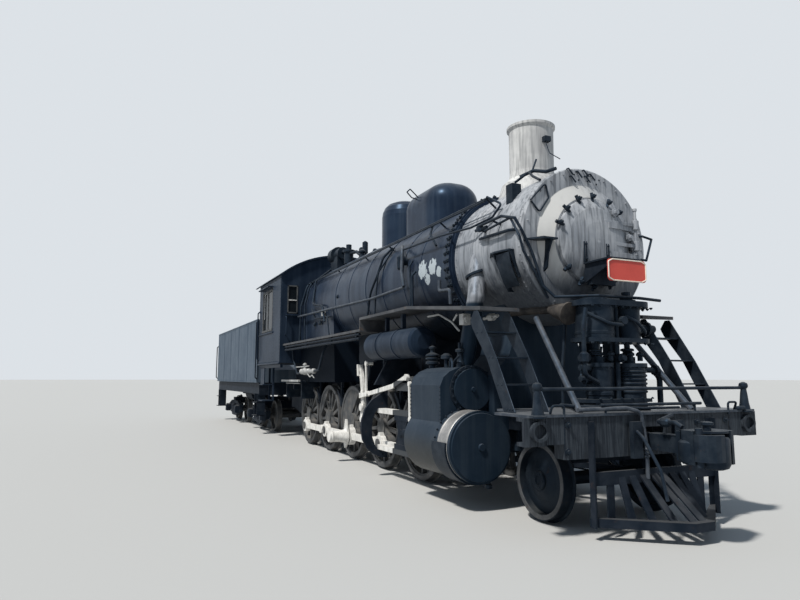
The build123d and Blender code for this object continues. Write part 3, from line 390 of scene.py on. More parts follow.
SKY_SHEEN = (0.36, 0.62, 1.0)
CHALK = {"slot": Slot.WHITE, "colour": (0.62, 0.61, 0.58), "second": (0.80, 0.79, 0.76), "rough": (0.55, 0.8),
         "grain": 9.0, "streak": 0.4, "streak_colour": (0.34, 0.33, 0.31), "streak_scale": 28.0, "rust": 0.12,
         "bump": 0.2}
CHALK_WHITE = Finish("chalk_white", **CHALK)
GEAR_PAINT = GearPaint("gear_paint", **CHALK)
GLOSS_BLACK = BoilerPaint(
    "gloss_black", Slot.BLACK, (0.009, 0.015, 0.029), (0.018, 0.029, 0.050), (0.22, 0.42), grain=1.6,
    streak=0.5, streak_colour=(0.040, 0.055, 0.080), streak_scale=7.0, dust=0.35,
    dust_colour=(0.09, 0.105, 0.13), bump=0.1, tint=SKY_SHEEN, specular=0.20)
CAB_BLACK = Finish(
    "cab_black", Slot.BLACK, (0.010, 0.017, 0.030), (0.018, 0.028, 0.046), (0.35, 0.55), grain=2.0,
    streak=0.45, streak_colour=(0.030, 0.043, 0.064), streak_scale=9.0, dust=0.5,
    dust_colour=(0.06, 0.075, 0.095), bump=0.1, tint=SKY_SHEEN, specular=0.13)
SOOT_BLACK = Finish(
    "soot_black", Slot.BLACK, (0.007, 0.010, 0.015), (0.017, 0.021, 0.028), (0.5, 0.75), grain=5.0, dust=0.6,
    dust_colour=(0.085, 0.085, 0.085), rust=0.25, rust_colour=(0.05, 0.028, 0.018), bump=0.25, tint=SKY_SHEEN,
    specular=0.16)
IRON_BLACK = Finish(
    "iron_black", Slot.BLACK, (0.008, 0.012, 0.018), (0.020, 0.026, 0.034), (0.36, 0.60), grain=8.0, dust=0.4,
    dust_colour=(0.09, 0.095, 0.10), rust=0.15, rust_colour=(0.06, 0.035, 0.022), bump=0.3, depth=0.003,
    tint=SKY_SHEEN, specular=0.20)
PIPE_GREY = Finish(
    "pipe_grey", Slot.BLACK, (0.038, 0.046, 0.058), (0.075, 0.084, 0.098), (0.4, 0.6), grain=9.0, dust=0.6,
    dust_colour=(0.16, 0.165, 0.17), rust=0.2, bump=0.2, tint=SKY_SHEEN)
CASING_PAINT = CasingPaint(
    "casing_paint", Slot.BLACK, (0.009, 0.017, 0.028), (0.016, 0.026, 0.040), (0.32, 0.5), grain=2.0,
    streak=0.4, streak_colour=(0.030, 0.042, 0.056), streak_scale=12.0, dust=0.5,
    dust_colour=(0.075, 0.09, 0.11), bump=0.12, tint=SKY_SHEEN, specular=0.18)
BOARD_EDGE = Finish(
    "board_edge", Slot.BLACK, (0.045, 0.049, 0.056), (0.085, 0.088, 0.094), (0.5, 0.75), grain=4.0, dust=0.6,
    dust_colour=(0.16, 0.145, 0.125), rust=0.3, rust_colour=(0.13, 0.085, 0.06), bump=0.2)
DARK_GLASS = Finish("dark_glass", Slot.BLACK, (0.008, 0.011, 0.014), (0.014, 0.018, 0.022), (0.12, 0.22),
                    grain=2.0, bump=0.01, specular=0.10)
GRAPHITE = GraphitePaint(
    "graphite_coat", Slot.GRAPHITE, (0.26, 0.28, 0.31), (0.41, 0.425, 0.45), (0.45, 0.65), metal=0.1,
    grain=2.2, streak=0.8, streak_colour=(0.11, 0.12, 0.135), streak_scale=22.0, bump=0.14, depth=0.0015)
FRONT_PAINT = FrontPaint(
    "graphite_front", Slot.GRAPHITE, (0.28, 0.30, 0.33), (0.42, 0.435, 0.46), (0.45, 0.65), metal=0.1,
    grain=2.5, streak=0.8, streak_colour=(0.11, 0.12, 0.135), streak_scale=24.0, bump=0.12, depth=0.0015)
STACK_PAINT = Finish(
    "stack_paint", Slot.GRAPHITE, (0.42, 0.42, 0.42), (0.62, 0.62, 0.61), (0.55, 0.75), grain=2.2,
    streak=0.75, streak_colour=(0.24, 0.245, 0.25), streak_scale=26.0, bump=0.12, depth=0.0015)
WHEEL_IRON = Finish("wheel_iron", Slot.WHEEL, (0.055, 0.059, 0.064), (0.110, 0.108, 0.104), (0.6, 0.85),
                    grain=6.0, dust=0.5, dust_colour=(0.18, 0.17, 0.155), rust=0.25, bump=0.3)
PILOT_IRON = Finish(
    "pilot_wheel_iron", Slot.WHEEL, (0.006, 0.009, 0.013), (0.014, 0.018, 0.023), (0.40, 0.65), grain=5.0,
    dust=0.4, dust_colour=(0.09, 0.09, 0.085), rust=0.25, rust_colour=(0.04, 0.025, 0.018), bump=0.3,
    tint=SKY_SHEEN, specular=0.16)
TYRE_STEEL = Finish("tyre_steel", Slot.WHEEL, (0.040, 0.043, 0.048), (0.085, 0.088, 0.092), (0.35, 0.6),
                    metal=0.2, grain=7.0, rust=0.2, bump=0.1)
BEAM_TIMBER = Timber(
    "beam_timber", Slot.WOOD, (0.014, 0.019, 0.027), (0.042, 0.052, 0.064), (0.6, 0.8),
    streak_colour=(0.065, 0.075, 0.088), bump=0.55, depth=0.006, along=(1.0, 1.0, 0.05))
SASH = Finish("sash", Slot.WOOD, (0.045, 0.050, 0.056), (0.09, 0.092, 0.092), (0.5, 0.7), grain=8.0, rust=0.2)
PLATE_RED = Finish("plate_enamel", Slot.RED, (0.60, 0.085, 0.065), (0.52, 0.070, 0.055), (0.3, 0.45),
                   grain=6.0, bump=0.04)
PLATE_CREAM = Finish("plate_cream", Slot.RED, (0.80, 0.74, 0.64), (0.72, 0.66, 0.56), (0.35, 0.5), grain=8.0,
                     bump=0.04)
TENDER_PAINT = Finish(
    "tender_slate", Slot.TENDER, (0.046, 0.066, 0.092), (0.072, 0.096, 0.125), (0.5, 0.72), grain=1.3,
    streak=0.6, streak_colour=(0.105, 0.13, 0.16), streak_scale=7.0, dust=0.4,
    dust_colour=(0.14, 0.155, 0.175), rust=0.06, bump=0.12, tint=SKY_SHEEN)
BARE_STEEL = Finish("cylinder_steel", Slot.STEEL, (0.30, 0.30, 0.30), (0.42, 0.41, 0.40), metal=0.7,
                    grain=10.0, rust=0.25)
PALE_PIPE = Finish("pale_pipe", Slot.STEEL, (0.32, 0.33, 0.33), (0.46, 0.46, 0.45), (0.4, 0.65), metal=0.3,
                   grain=12.0, rust=0.3)
RUSTY = Finish("rusty", Slot.STEEL, (0.026, 0.024, 0.024), (0.062, 0.054, 0.048), (0.6, 0.85), grain=9.0,
               dust=0.4, dust_colour=(0.13, 0.115, 0.10), bump=0.45, depth=0.006)


class Skin:
    """Mesh of one piece while its forms are added."""

    def __init__(self) -> None:
        """Start empty, on the side as written."""
        self.mesh = bmesh.new()
        self.side = 1.0
        self.shift = Vector((0.0, 0.0, 0.0))

    def loft(self, rings: Sequence[Sequence[Vector]], closed: bool = False) -> None:
        """Join rings of equal length.

        Args:
            rings: Loops of points, in order.
            closed: True where the last ring joins the first, False where both ends are capped.
        """
        mirror = Vector((1.0, self.side, 1.0))
        rows = [[self.mesh.verts.new((spot + self.shift) * mirror + ROW) for spot in ring] for ring in rings]
        for low, high in zip(rows, rows[1:] + rows[:1] if closed else rows[1:]):
            for corners in zip(low, low[1:] + low[:1], high[1:] + high[:1], high):
                self.mesh.faces.new(corners)
        if not closed:
            self.mesh.faces.new(rows[0][::-1])
            self.mesh.faces.new(rows[-1])


def angles(count: int, start: float = 0.0) -> list[float]:
    """Evenly spread angles of one turn, from a share of a step on."""
    return [2 * math.pi * (i + start) / count for i in range(count)]


def on(axis: Axis, place: float, *pairs: tuple[float, float]) -> list[tuple[float, ...]]:
    """Points at one place along an axis.

    Args:
        axis: The axis.
        place: Where along it they lie.
        pairs: Each point's other two directions, in order.

    Returns:
        The points.
    """
    index = "XYZ".index(axis.name)
    return [(*pair[:index], place, *pair[index:]) for pair in pairs]


def turned(degrees: float) -> Vector:
    """Direction across the engine, from its left side up over the top."""
    angle = math.radians(degrees)
    return Vector((0.0, math.cos(angle), math.sin(angle)))


def rounded(points: Sequence[Vector], bend: float) -> list[Vector]:
    """Route with a curve at each corner.

    Args:
        points: Corners of the route.
        bend: Radius of the curves, less where the runs are short.

    Returns:
        The points of the rounded route.
    """
    route = [points[0]]
    for before, corner, after in zip(points, points[1:], points[2:]):
        back, ahead = before - corner, after - corner
        angle = back.angle(ahead)
        if math.pi - angle < 0.05:
            route.append(corner)
            continue
        reach = min(bend / max(math.tan(angle / 2), 1e-3), back.length * 0.48, ahead.length * 0.48)
        start, end = corner + back.normalized() * reach, corner + ahead.normalized() * reach
        for t in (i / 6.0 for i in range(7)):
            route.append(start * (1 - t) ** 2 + corner * (2 * t * (1 - t)) + end * t ** 2)
    return [*route, points[-1]]


class Form:
    """A shape that can be added to a skin."""

    def add(self, skin: Skin) -> None:
        """Add the shape."""
        raise NotImplementedError


@dataclass(frozen=True)
class Pipe(Form):
    """Round pipe or rod; without a bend its corners have three times its radius."""

    radius: float
    points: Sequence[Point]
    bend: float = 0.0
    sides: int = 10

    def add(self, skin: Skin) -> None:
        """Loft rings along the rounded route."""
        route = rounded([Vector(p) for p in self.points], self.bend or self.radius * 3.0)
        side = Vector(UP if abs((route[1] - route[0]).normalized().z) < 0.9 else AHEAD)
        rings = []
        for spot, before, after in zip(route, route[:1] + route, route[1:] + route[-1:]):
            ahead = (after - before).normalized()
            side = (side - ahead * side.dot(ahead)).normalized()
            other = ahead.cross(side)
            rings.append([spot + side * (self.radius * math.cos(a)) + other * (self.radius * math.sin(a))
                          for a in angles(self.sides)])
        skin.loft(rings)


@dataclass(frozen=True)
class Plate(Form):
    """Outline extruded along an axis; its pairs are the other two directions in order."""

    outline: Pairs
    axis: Axis
    low: float
    high: float

    def add(self, skin: Skin) -> None:
        """Loft the outline between its two ends."""
        faces = (on(self.axis, end, *self.outline) for end in (self.low, self.high))
        skin.loft([[Vector(spot) for spot in face] for face in faces])


@dataclass(frozen=True)
class Box(Form):
    """Box between two corners."""

    low: Point
    high: Point

    def add(self, skin: Skin) -> None:
        """Extrude its foot."""
        (x, y, z), (far_x, far_y, top) = self.low, self.high
        Plate(((x, y), (far_x, y), (far_x, far_y), (x, far_y)), Axis.Z, z, top).add(skin)


@dataclass(frozen=True)
class Lathe(Form):
    """Turned form from pairs of radius and distance along its axis; a hollow one runs back to its start."""

    at: Point
    along: Point
    profile: Pairs
    sides: int = 20
    hollow: bool = False

    def add(self, skin: Skin) -> None:
        """Loft one ring for each pair."""
        turn = Vector(self.along).normalized().to_track_quat("Z", "Y").to_matrix()
        skin.loft([[turn @ Vector((radius * math.cos(a), radius * math.sin(a), rise)) + Vector(self.at)
                    for a in angles(self.sides, 0.5)]
                   for radius, rise in ((max(r, 1e-4), d) for r, d in self.profile)], self.hollow)


def nut(at: Point, along: Point, size: float) -> tuple[Lathe, ...]:
    """Nut with the end of its stud."""
    return (Lathe(at, along, ((size, 0.0), (size, size * 0.75), (size * 0.86, size * 0.9)), 6),
            Lathe(at, along, ((size * 0.45, 0.0), (size * 0.45, size * 1.25), (size * 0.3, size * 1.35)), 8))


def rivet(at: Point, along: Point, size: float) -> tuple[Lathe, ...]:
    """Domed rivet head."""
    dome = ((1.0, -0.2), (0.95, 0.18), (0.62, 0.5), (0.05, 0.64))
    return (Lathe(at, along, tuple((r * size, d * size) for r, d in dome), 8),)


@dataclass(frozen=True)
class Row(Form):
    """Rivets or nuts in a straight row."""

    start: Point
    end: Point
    count: int
    out: Point
    size: float = 0.010
    nuts: bool = False

    def add(self, skin: Skin) -> None:
        """Add each head."""
        for i in range(self.count):
            spot = Vector(self.start).lerp(Vector(self.end), i / (self.count - 1))
            for head in (nut if self.nuts else rivet)(spot, self.out, self.size):
                head.add(skin)


@dataclass(frozen=True)
class Circle(Form):
    """Rivets or nuts on a circle about an axis; without a facing they point outward."""

    at: Point
    axis: Axis
    radius: float
    count: int
    size: float
    facing: Point | None = None
    sweep: tuple[float, float] = (0.0, 360.0)
    nuts: bool = True

    def add(self, skin: Skin) -> None:
        """Add each head."""
        span = self.sweep[1] - self.sweep[0]
        for i in range(self.count):
            _, side, up = turned(self.sweep[0] + span * i / (self.count - (span < 360.0)))
            out = Vector({Axis.X: (0, side, up), Axis.Y: (side, 0, up), Axis.Z: (up, side, 0)}[self.axis])
            spot = Vector(self.at) + out * self.radius
            for head in (nut if self.nuts else rivet)(spot, self.facing or out, self.size):
                head.add(skin)


@dataclass(frozen=True)
class Dress:
    """One piece: forms of one finish that move with one body.

    Sides holds 1 for the side as written and -1 for its mirror; shifts repeats the forms along the engine.
    """

    name: str
    finish: Finish
    forms: Sequence[Form]
    body: str = "engine"
    sides: tuple[float, ...] = (1.0,)
    shifts: Sequence[Point] = ((0.0, 0.0, 0.0),)
    bevel: float = 0.0

    def mesh(self) -> bpy.types.Mesh:
        """All forms as one smooth mesh with crisp edges."""
        skin = Skin()
        for skin.side in self.sides:
            for shift in self.shifts:
                skin.shift = Vector(shift)
                for form in self.forms:
                    form.add(skin)
        bmesh.ops.recalc_face_normals(skin.mesh, faces=skin.mesh.faces)
        data = bpy.data.meshes.new(self.name)
        skin.mesh.to_mesh(data)
        skin.mesh.free()
        data.shade_smooth()
        data.set_sharp_from_angle(angle=math.radians(CRISP_DEGREES))
        return data

    def build(self) -> None:
        """Make the piece, dress it and let it ride on its body."""
        data = self.mesh()
        data.materials.append(self.finish.material())
        piece = bpy.data.objects.new(self.name, data)
        bpy.context.scene.collection.objects.link(piece)
        if self.bevel:
            wear(piece, self.bevel, 2)
        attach(piece, self.body)
        LOG.info("%s: %d faces on %s", self.name, len(data.polygons), self.body)


def wear(piece: bpy.types.Object, width: float, segments: int) -> None:
    """Round the sharp edges of a piece.

    Args:
        piece: The object.
        width: Width of the worn edge.
        segments: Facets across it.
    """
    edge = piece.modifiers.new("worn_edge", "BEVEL")
    edge.width = width
    edge.segments = segments
    edge.limit_method = "ANGLE"
    edge.angle_limit = math.radians(BEVEL_DEGREES)


def across(x: float, radius: float, degrees: float) -> Vector:
    """Point at an angle round the boiler's axis."""
    return Vector((x, 0.0, BOILER_Z)) + turned(degrees) * radius


def hoop(x: float, radius: float, count: int, size: float, **more: object) -> Circle:
    """Nuts or rivets round the boiler's axis."""
    return Circle((x, 0, BOILER_Z), Axis.X, radius, count, size, **more)


def flange(radius: float, depth: float) -> Pairs:
    """Profile of a flat disc."""
    return (0.0, 0.0), (radius, 0.0), (radius, depth), (0.0, depth)


def stud(wide: float, foot: float, thin: float, rise: float, top: float) -> Pairs:
    """Profile of a wide foot with a thinner shaft on it."""
    return (wide, 0.0), (wide, foot), (thin, rise), (thin, top)


def fins(inner: float, outer: float, length: float, count: int) -> Pairs:
    """Profile of a finned drum.

    Args:
        inner: Radius between the fins.
        outer: Radius of the fins.
        length: Length of the drum.
        count: Number of fins.

    Returns:
        Pairs of radius and distance.
    """
    fin = ((inner, 0.2), (outer, 0.35), (outer, 0.75), (inner, 0.9))
    return ((0.0, 0.0), *((r, length * (i + d) / count) for i in range(count) for r, d in fin), (0.0, length))


def strip(centre: Point, inner: float, outer: float, low: float, high: float, steps: int = 24) -> Pairs:
    """Outline of a curved strip.

    Args:
        centre: Its centre, across and up.
        inner: Radius of the inner edge.
        outer: Radius of the outer edge.
        low: Angle where it starts.
        high: Angle where it ends.
        steps: Facets along it.

    Returns:
        Pairs across and up.
    """
    sweep = [math.radians(low + (high - low) * i / steps) for i in range(steps + 1)]
    edge = [(outer, a) for a in sweep] + [(inner, a) for a in reversed(sweep)]
    return [(centre[0] + r * math.cos(a), centre[1] + r * math.sin(a)) for r, a in edge]


class Assembly:
    """Part of the locomotive: its sizes are fields, and its methods make and dress its pieces."""

    def pieces(self) -> Iterator[Dress]:
        """The pieces, in the order they are made."""
        raise NotImplementedError

    def build(self) -> None:
        """Make every piece."""
        for dress in self.pieces():
            dress.build()


@dataclass(frozen=True)
class SmokeboxTrim(Assembly):
    """Bolts, door clamps and brackets, hinge irons, drain and small fittings of the smokebox."""

    ring_x: float = 5.571
    clamp_angles: tuple[float, ...] = (160.7, 138.5, 115.4, 91.9, 65.5, 45.5, 219.0, 244.8, 264.6, 291.0,
                                       317.0)
    bracket_top: float = 2.99
    hinge: tuple[float, float] = (5.762, 0.58)
    border_x: float = 6.195

    def pieces(self) -> Iterator[Dress]:
        """The pieces, in the order they are made."""
        yield self.ring_bolts()
        yield self.door_dogs()
        yield self.door_brackets()
        yield Dress("ring_fittings", IRON_BLACK, (*self.ring_irons(), *self.shelves(), *self.small_pipes()),
                    bevel=0.003)
        yield self.hinge_irons()
        yield self.drain_pipe()
        yield self.plate_border()

    def ring_bolts(self) -> Dress:
        """Nuts on the front ring and rivets round the tube."""
        return Dress("ring_bolts", GRAPHITE, (
            hoop(self.ring_x, 0.848, 26, 0.013, facing=AHEAD),
            hoop(5.500, SMOKEBOX_R, 64, 0.013, nuts=False),
            *(hoop(x, SMOKEBOX_R, 8, 0.014, sweep=(212, 236), nuts=False) for x in (5.400, 5.300)),
            hoop(4.100, SMOKEBOX_R, 60, 0.012, nuts=False)))

    def door_dogs(self) -> Dress:
        """Clamp bars and their nuts round the door."""
        forms: list[Form] = []
        for angle in self.clamp_angles:
            forms.append(Pipe(0.024, (across(5.722, 0.465, angle), across(5.712, 0.575, angle)), sides=4))
            forms.append(Lathe(across(5.725, 0.528, angle), AHEAD, stud(0.030, 0.030, 0.014, 0.034, 0.06), 6))
        return Dress("door_dogs", IRON_BLACK, forms, "smokebox_door", bevel=0.003)

    def door_brackets(self) -> Dress:
        """Channel brackets on the door with their nuts, and the box under them."""
        channels = ((-0.222, -0.180, 2.755), (0.098, 0.138, 2.825))
        forms: list[Form] = []
        for y, far_y, z in channels:
            forms += [Box((5.74, y, z), (5.795, y + 0.010, self.bracket_top)),
                      Box((5.74, far_y - 0.010, z), (5.795, far_y, self.bracket_top)),
                      Box((5.76, y, z), (5.770, far_y, self.bracket_top))]
        forms.append(Box((5.77, -0.175, 2.500), (5.84, 0.170, 2.728)))
        nuts = ((-0.201, 2.79), (0.118, 2.85))
        forms += [Row((5.80, y, z), (5.80, y, 2.96), 2, AHEAD, 0.014, True) for y, z in nuts]
        return Dress("door_brackets", IRON_BLACK, forms, "smokebox_door", bevel=0.002)

    def ring_irons(self) -> list[Form]:
        """Iron loop, nuts and hooks of the front ring, and a pipe with its cup along the tube."""
        hooks = ((-0.215, 3.860), (-0.180, 3.775), (-0.085, 3.845), (0.010, 3.870), (0.035, 3.800),
                 (0.105, 3.835))
        bent = [((5.565, y - 0.03, z + 0.03), (5.60, y - 0.03, z + 0.03), (5.61, y + 0.03, z - 0.045))
                for y, z in hooks]
        iron = on(Axis.X, 5.585, (-0.783, 3.451), (-0.569, 3.676), (-0.533, 3.505), (-0.664, 3.326),
                  (-0.775, 3.440))
        return [
            Pipe(0.010, iron, 0.03),
            hoop(self.ring_x, 0.83, 5, 0.010, facing=AHEAD, sweep=(74, 100)),
            hoop(self.ring_x, 0.765, 3, 0.010, facing=AHEAD, sweep=(76, 96)),
            Pipe(0.018, ((4.72, -0.915, 3.165), (4.80, -0.935, 3.158), (5.38, -0.935, 3.135),
                         (5.44, -0.90, 3.13))),
            Lathe((4.80, -0.93, 3.27), (0.3, -0.9, 0.1),
                  ((0.03, -0.06), (0.03, 0.03), (0.05, 0.035), (0.05, 0.06), (0.02, 0.07)), 10),
            Pipe(0.020, ((4.70, -0.96, 3.27), (4.95, -0.96, 3.265))),
            *(Pipe(0.009, line, 0.01, 6) for line in bent)]

    def shelves(self) -> list[Form]:
        """Dark strip as a painted shadow under the shelf on the tube's right side, that bracketed shelf, and
        the bracketed shelf on the ring.
        """
        return [
            # painted shadow: a dark strip hugging the tube under the side step
            Plate(strip((0.0, BOILER_Z), 0.968, 0.976, 188, 212), Axis.X, 5.14, 5.40),
            Plate(((4.858, -0.868), (5.402, -0.868), (5.402, -0.962), (5.18, -1.012), (5.08, -1.002)),
                  Axis.Z, 2.897, 2.917),
            Plate(((-0.86, 2.905), (-0.997, 2.905), (-0.782, 2.468), (-0.69, 2.468)), Axis.X, 5.107, 5.127),
            Plate(((-0.86, 2.905), (-0.960, 2.905), (-0.840, 2.600), (-0.78, 2.600)), Axis.X, 5.385, 5.400),
            Plate(((5.548, -0.852), (5.548, -0.558), (5.742, -0.543), (5.742, -0.737)), Axis.Z, 2.992, 3.012),
            Plate(((5.55, 3.0), (5.738, 3.0), (5.662, 2.85), (5.632, 2.69), (5.55, 2.637)),
                  Axis.Y, -0.623, -0.603)]

    def small_pipes(self) -> list[Form]:
        """Small pipes and boxes from the tube up to the stack."""
        return [
            Pipe(0.014, ((4.95, -0.99, 3.21), (5.46, -0.975, 3.255), (5.60, -0.955, 3.02),
                         (5.60, -0.91, 2.86), (5.60, -0.823, 2.737), (5.60, -0.592, 2.350)), 0.05),
            Pipe(0.014, ((4.79, -0.85, 3.69), (5.02, -0.79, 3.55), (4.92, -0.86, 3.40), (4.60, -0.97, 3.33),
                         (3.84, -1.0, 3.38), (2.60, -1.0, 3.415))),
            Box((5.03, -0.73, 3.50), (5.16, -0.60, 3.78)),
            Pipe(0.022, ((5.0, -0.50, 3.93), (5.12, -0.38, 3.99), (5.30, -0.33, 3.93), (5.44, -0.30, 3.93)),
                 0.05),
            Pipe(0.016, ((4.96, -0.55, 3.86), (5.10, -0.44, 3.97), (5.26, -0.50, 3.86), (5.46, -0.55, 3.75)),
                 0.05),
            Pipe(0.012, ((5.10, -0.40, 3.96), (5.07, -0.30, 4.16))),
            Box((4.84, -0.04, 4.50), (4.93, 0.05, 4.57)),
            Pipe(0.006, ((4.90, -0.02, 4.50), (5.02, -0.05, 4.30), (5.30, -0.12, 4.12)), 0.1)]

    def hinge_irons(self) -> Dress:
        """Hinge straps, knuckles, pin and the two large nuts on the door."""
        zs = (3.256, 3.005)
        knuckle = ((0.018, -0.06), (0.040, -0.055), (0.040, 0.055), (0.018, 0.06))
        return Dress("hinge_irons", GRAPHITE, (
            *(Box((5.745, y, z - 0.02), (5.778, 0.56, z + 0.02)) for y, z in zip((0.10, 0.16), zs)),
            *(Lathe((*self.hinge, z), UP, knuckle, 12) for z in zs),
            Lathe((*self.hinge, 2.90), UP, ((0.016, 0.0), (0.016, 0.52), (0.026, 0.53), (0.026, 0.56)), 10),
            Lathe((5.75, 0.264, 3.374), AHEAD, stud(0.05, 0.03, 0.03, 0.035, 0.07), 6),
            Lathe((5.75, 0.474, 3.100), AHEAD, stud(0.045, 0.03, 0.025, 0.035, 0.06), 6)),
            "smokebox_door", bevel=0.003)

    def drain_pipe(self) -> Dress:
        """Rusty pipe under the tube with its nozzle."""
        nozzle = ((0.05, 0.0), (0.085, 0.12), (0.10, 0.22), (0.10, 0.27), (0.125, 0.28), (0.125, 0.31),
                  (0.05, 0.32))
        return Dress("drain_pipe", RUSTY, (
            Pipe(0.045, ((4.79, -0.53, 2.265), (5.30, -0.50, 2.245), (5.60, -0.48, 2.22))),
            Lathe((5.52, -0.50, 2.235), (1.0, 0.05, -0.25), nozzle, 16)))

    def plate_border(self) -> Dress:
        """Cream edge of the plate."""
        edge = on(Axis.X, self.border_x, (-0.20, 2.494), (0.20, 2.494), (0.26, 2.52), (0.26, 2.694),
                  (0.20, 2.720), (-0.20, 2.720), (-0.26, 2.694), (-0.26, 2.52), (-0.19, 2.494))
        return Dress("plate_border", PLATE_CREAM, (Pipe(0.007, edge, 0.02, 6),), "smokebox_door")


@dataclass(frozen=True)
class BoilerTrim(Assembly):
    """Bands, flange nuts, waist sheets and all pipes of the boiler and firebox."""

    bands: Pairs = ((3.10, 0.946), (2.50, 0.952), (1.72, 0.973), (1.02, 0.992), (0.20, 1.008), (-0.55, 1.016))
    barrel_r: float = 0.953
    sheet_xs: tuple[float, ...] = (2.35, 0.80, -0.85)
    sheet_half: float = 0.54
    sheet_foot: float = 1.22
    injector_y: float = -1.22
    turret: tuple[float, float] = (-1.35, -0.45)

    def pieces(self) -> Iterator[Dress]:
        """The pieces, in the order they are made."""
        yield Dress("boiler_bands", GLOSS_BLACK, [self.band(x, r) for x, r in self.bands])
        yield Dress("flange_nuts", IRON_BLACK, (
            hoop(4.000, 0.968, 56, 0.030), hoop(3.900, self.barrel_r, 56, 0.026),
            hoop(3.960, 0.955, 40, 0.022)))
        yield self.waist_sheets()
        yield self.boiler_pipes()
        yield self.feed_pipes()
        disc = Lathe((-1.21, -1.02, 2.80), RIGHT, ((0.065, 0.0), (0.065, 0.05), (0.05, 0.058)), 20)
        yield Dress("pale_discs", CHALK_WHITE, (disc,), sides=BOTH)
        yield Dress("injector", PALE_PIPE, self.injector())
        yield Dress("injector_left", IRON_BLACK, self.injector(), sides=(-1.0,))
        yield self.firebox_pipes()
        yield self.turret_fittings()

    def band(self, x: float, radius: float) -> Lathe:
        """One band, its edges sloped down to the lagging."""
        edge = ((radius + 0.002, -0.035), (radius + 0.006, -0.03), (radius + 0.006, 0.03),
                (radius + 0.002, 0.035))
        return Lathe((x, 0, BOILER_Z), AHEAD, edge, 96)

    def waist_sheets(self) -> Dress:
        """Sheets from the frame up to the boiler's underside, each on a foot."""
        half, foot = self.sheet_half, self.sheet_foot
        ys = (half, half / 2, 0.0, -half / 2, -half)
        rim = [(y, BOILER_Z - math.sqrt(self.barrel_r ** 2 - y ** 2)) for y in ys]
        outline = [(-half, foot), (half, foot), *rim]
        return Dress("waist_sheets", SOOT_BLACK, (
            *(Plate(outline, Axis.X, x - 0.012, x + 0.012) for x in self.sheet_xs),
            *(Box((x - 0.03, -half, foot), (x + 0.05, half, foot + 0.03)) for x in self.sheet_xs)))

    def boiler_pipes(self) -> Dress:
        """Pipes down the barrel's right side, a valve with its cup and the loop on the dome's lid."""
        loop = on(Axis.X, 1.95, (-0.38, 4.46), (-0.52, 4.48), (-0.61, 4.565), (-0.55, 4.625), (-0.46, 4.55),
                  (-0.38, 4.48))
        valve = ((0.06, 0.0), (0.06, 0.05), (0.085, 0.055), (0.085, 0.08), (0.045, 0.085), (0.045, 0.14))
        return Dress("boiler_pipes", IRON_BLACK, (
            Pipe(0.012, ((-2.95, -0.905, 3.625), (4.80, -0.885, 3.632))),
            Pipe(0.020, ((1.90, -0.84, 3.60), (1.80, -0.97, 3.45), (1.66, -1.02, 3.16), (1.38, -1.03, 2.9),
                         (1.30, -1.06, 2.45)), 0.25),
            Pipe(0.013, ((1.95, -0.83, 3.60), (1.70, -1.02, 3.2), (1.64, -1.03, 2.9), (1.64, -1.06, 2.45)),
                 0.2),
            Pipe(0.016, ((2.92, -0.97, 3.20), (2.92, -1.02, 3.12), (2.96, -1.02, 2.70), (2.98, -1.04, 2.45))),
            Pipe(0.020, ((3.02, -0.97, 3.02), (3.02, -1.03, 2.96), (3.05, -1.03, 2.45))),
            Lathe((2.62, -0.93, 3.24), RIGHT, valve, 12),
            Lathe((2.62, -1.04, 3.10), UP, ((0.028, 0.0), (0.05, 0.03), (0.05, 0.20), (0.028, 0.23)), 12),
            Pipe(0.016, ((3.33, -0.84, 3.66), (3.42, -0.93, 3.50), (3.60, -0.93, 3.30))),
            Pipe(0.010, loop, 0.01)))

    def feed_pipes(self) -> Dress:
        """Feed pipe along the boiler and up its side, and the short pipe behind the smokebox."""
        return Dress("feed_pipes", PIPE_GREY, (
            Pipe(0.027, ((2.40, -0.90, 3.52), (2.66, -1.02, 3.40), (2.70, -1.05, 3.05), (2.78, -1.05, 2.83)),
                 0.14),
            Pipe(0.022, ((-2.95, -1.10, 2.87), (-0.41, -1.10, 2.82), (1.54, -1.09, 2.775),
                         (2.78, -1.06, 2.81))),
            Pipe(0.024, ((3.80, -0.99, 2.78), (3.80, -0.995, 2.63), (4.10, -1.0, 2.61), (4.12, -1.0, 2.42)),
                 0.05)))

    def injector(self) -> list[Form]:
        """Injector body with its valve and two pipes."""
        body = ((0.03, 0.0), (0.06, 0.02), (0.06, 0.07), (0.035, 0.09), (0.035, 0.16), (0.07, 0.20),
                (0.075, 0.32), (0.045, 0.36), (0.04, 0.50), (0.062, 0.52), (0.062, 0.58), (0.04, 0.60),
                (0.035, 0.86), (0.058, 0.88), (0.058, 0.93), (0.03, 0.95))
        valve = ((0.03, 0.0), (0.03, 0.08), (0.05, 0.09), (0.05, 0.11), (0.02, 0.14))
        rod = on(Axis.Y, self.injector_y, (-2.60, 1.70), (-1.95, 1.70), (-1.60, 1.71))
        drain = on(Axis.Y, -1.25, (-1.60, 1.55), (-1.40, 1.48), (-1.25, 1.52), (-1.10, 1.46))
        return [Lathe((-2.15, self.injector_y, 1.60), AHEAD, body, 12),
                Lathe((-1.88, self.injector_y, 1.64), UP, valve, 10),
                Pipe(0.014, rod, 0.05), Pipe(0.011, drain, 0.05)]

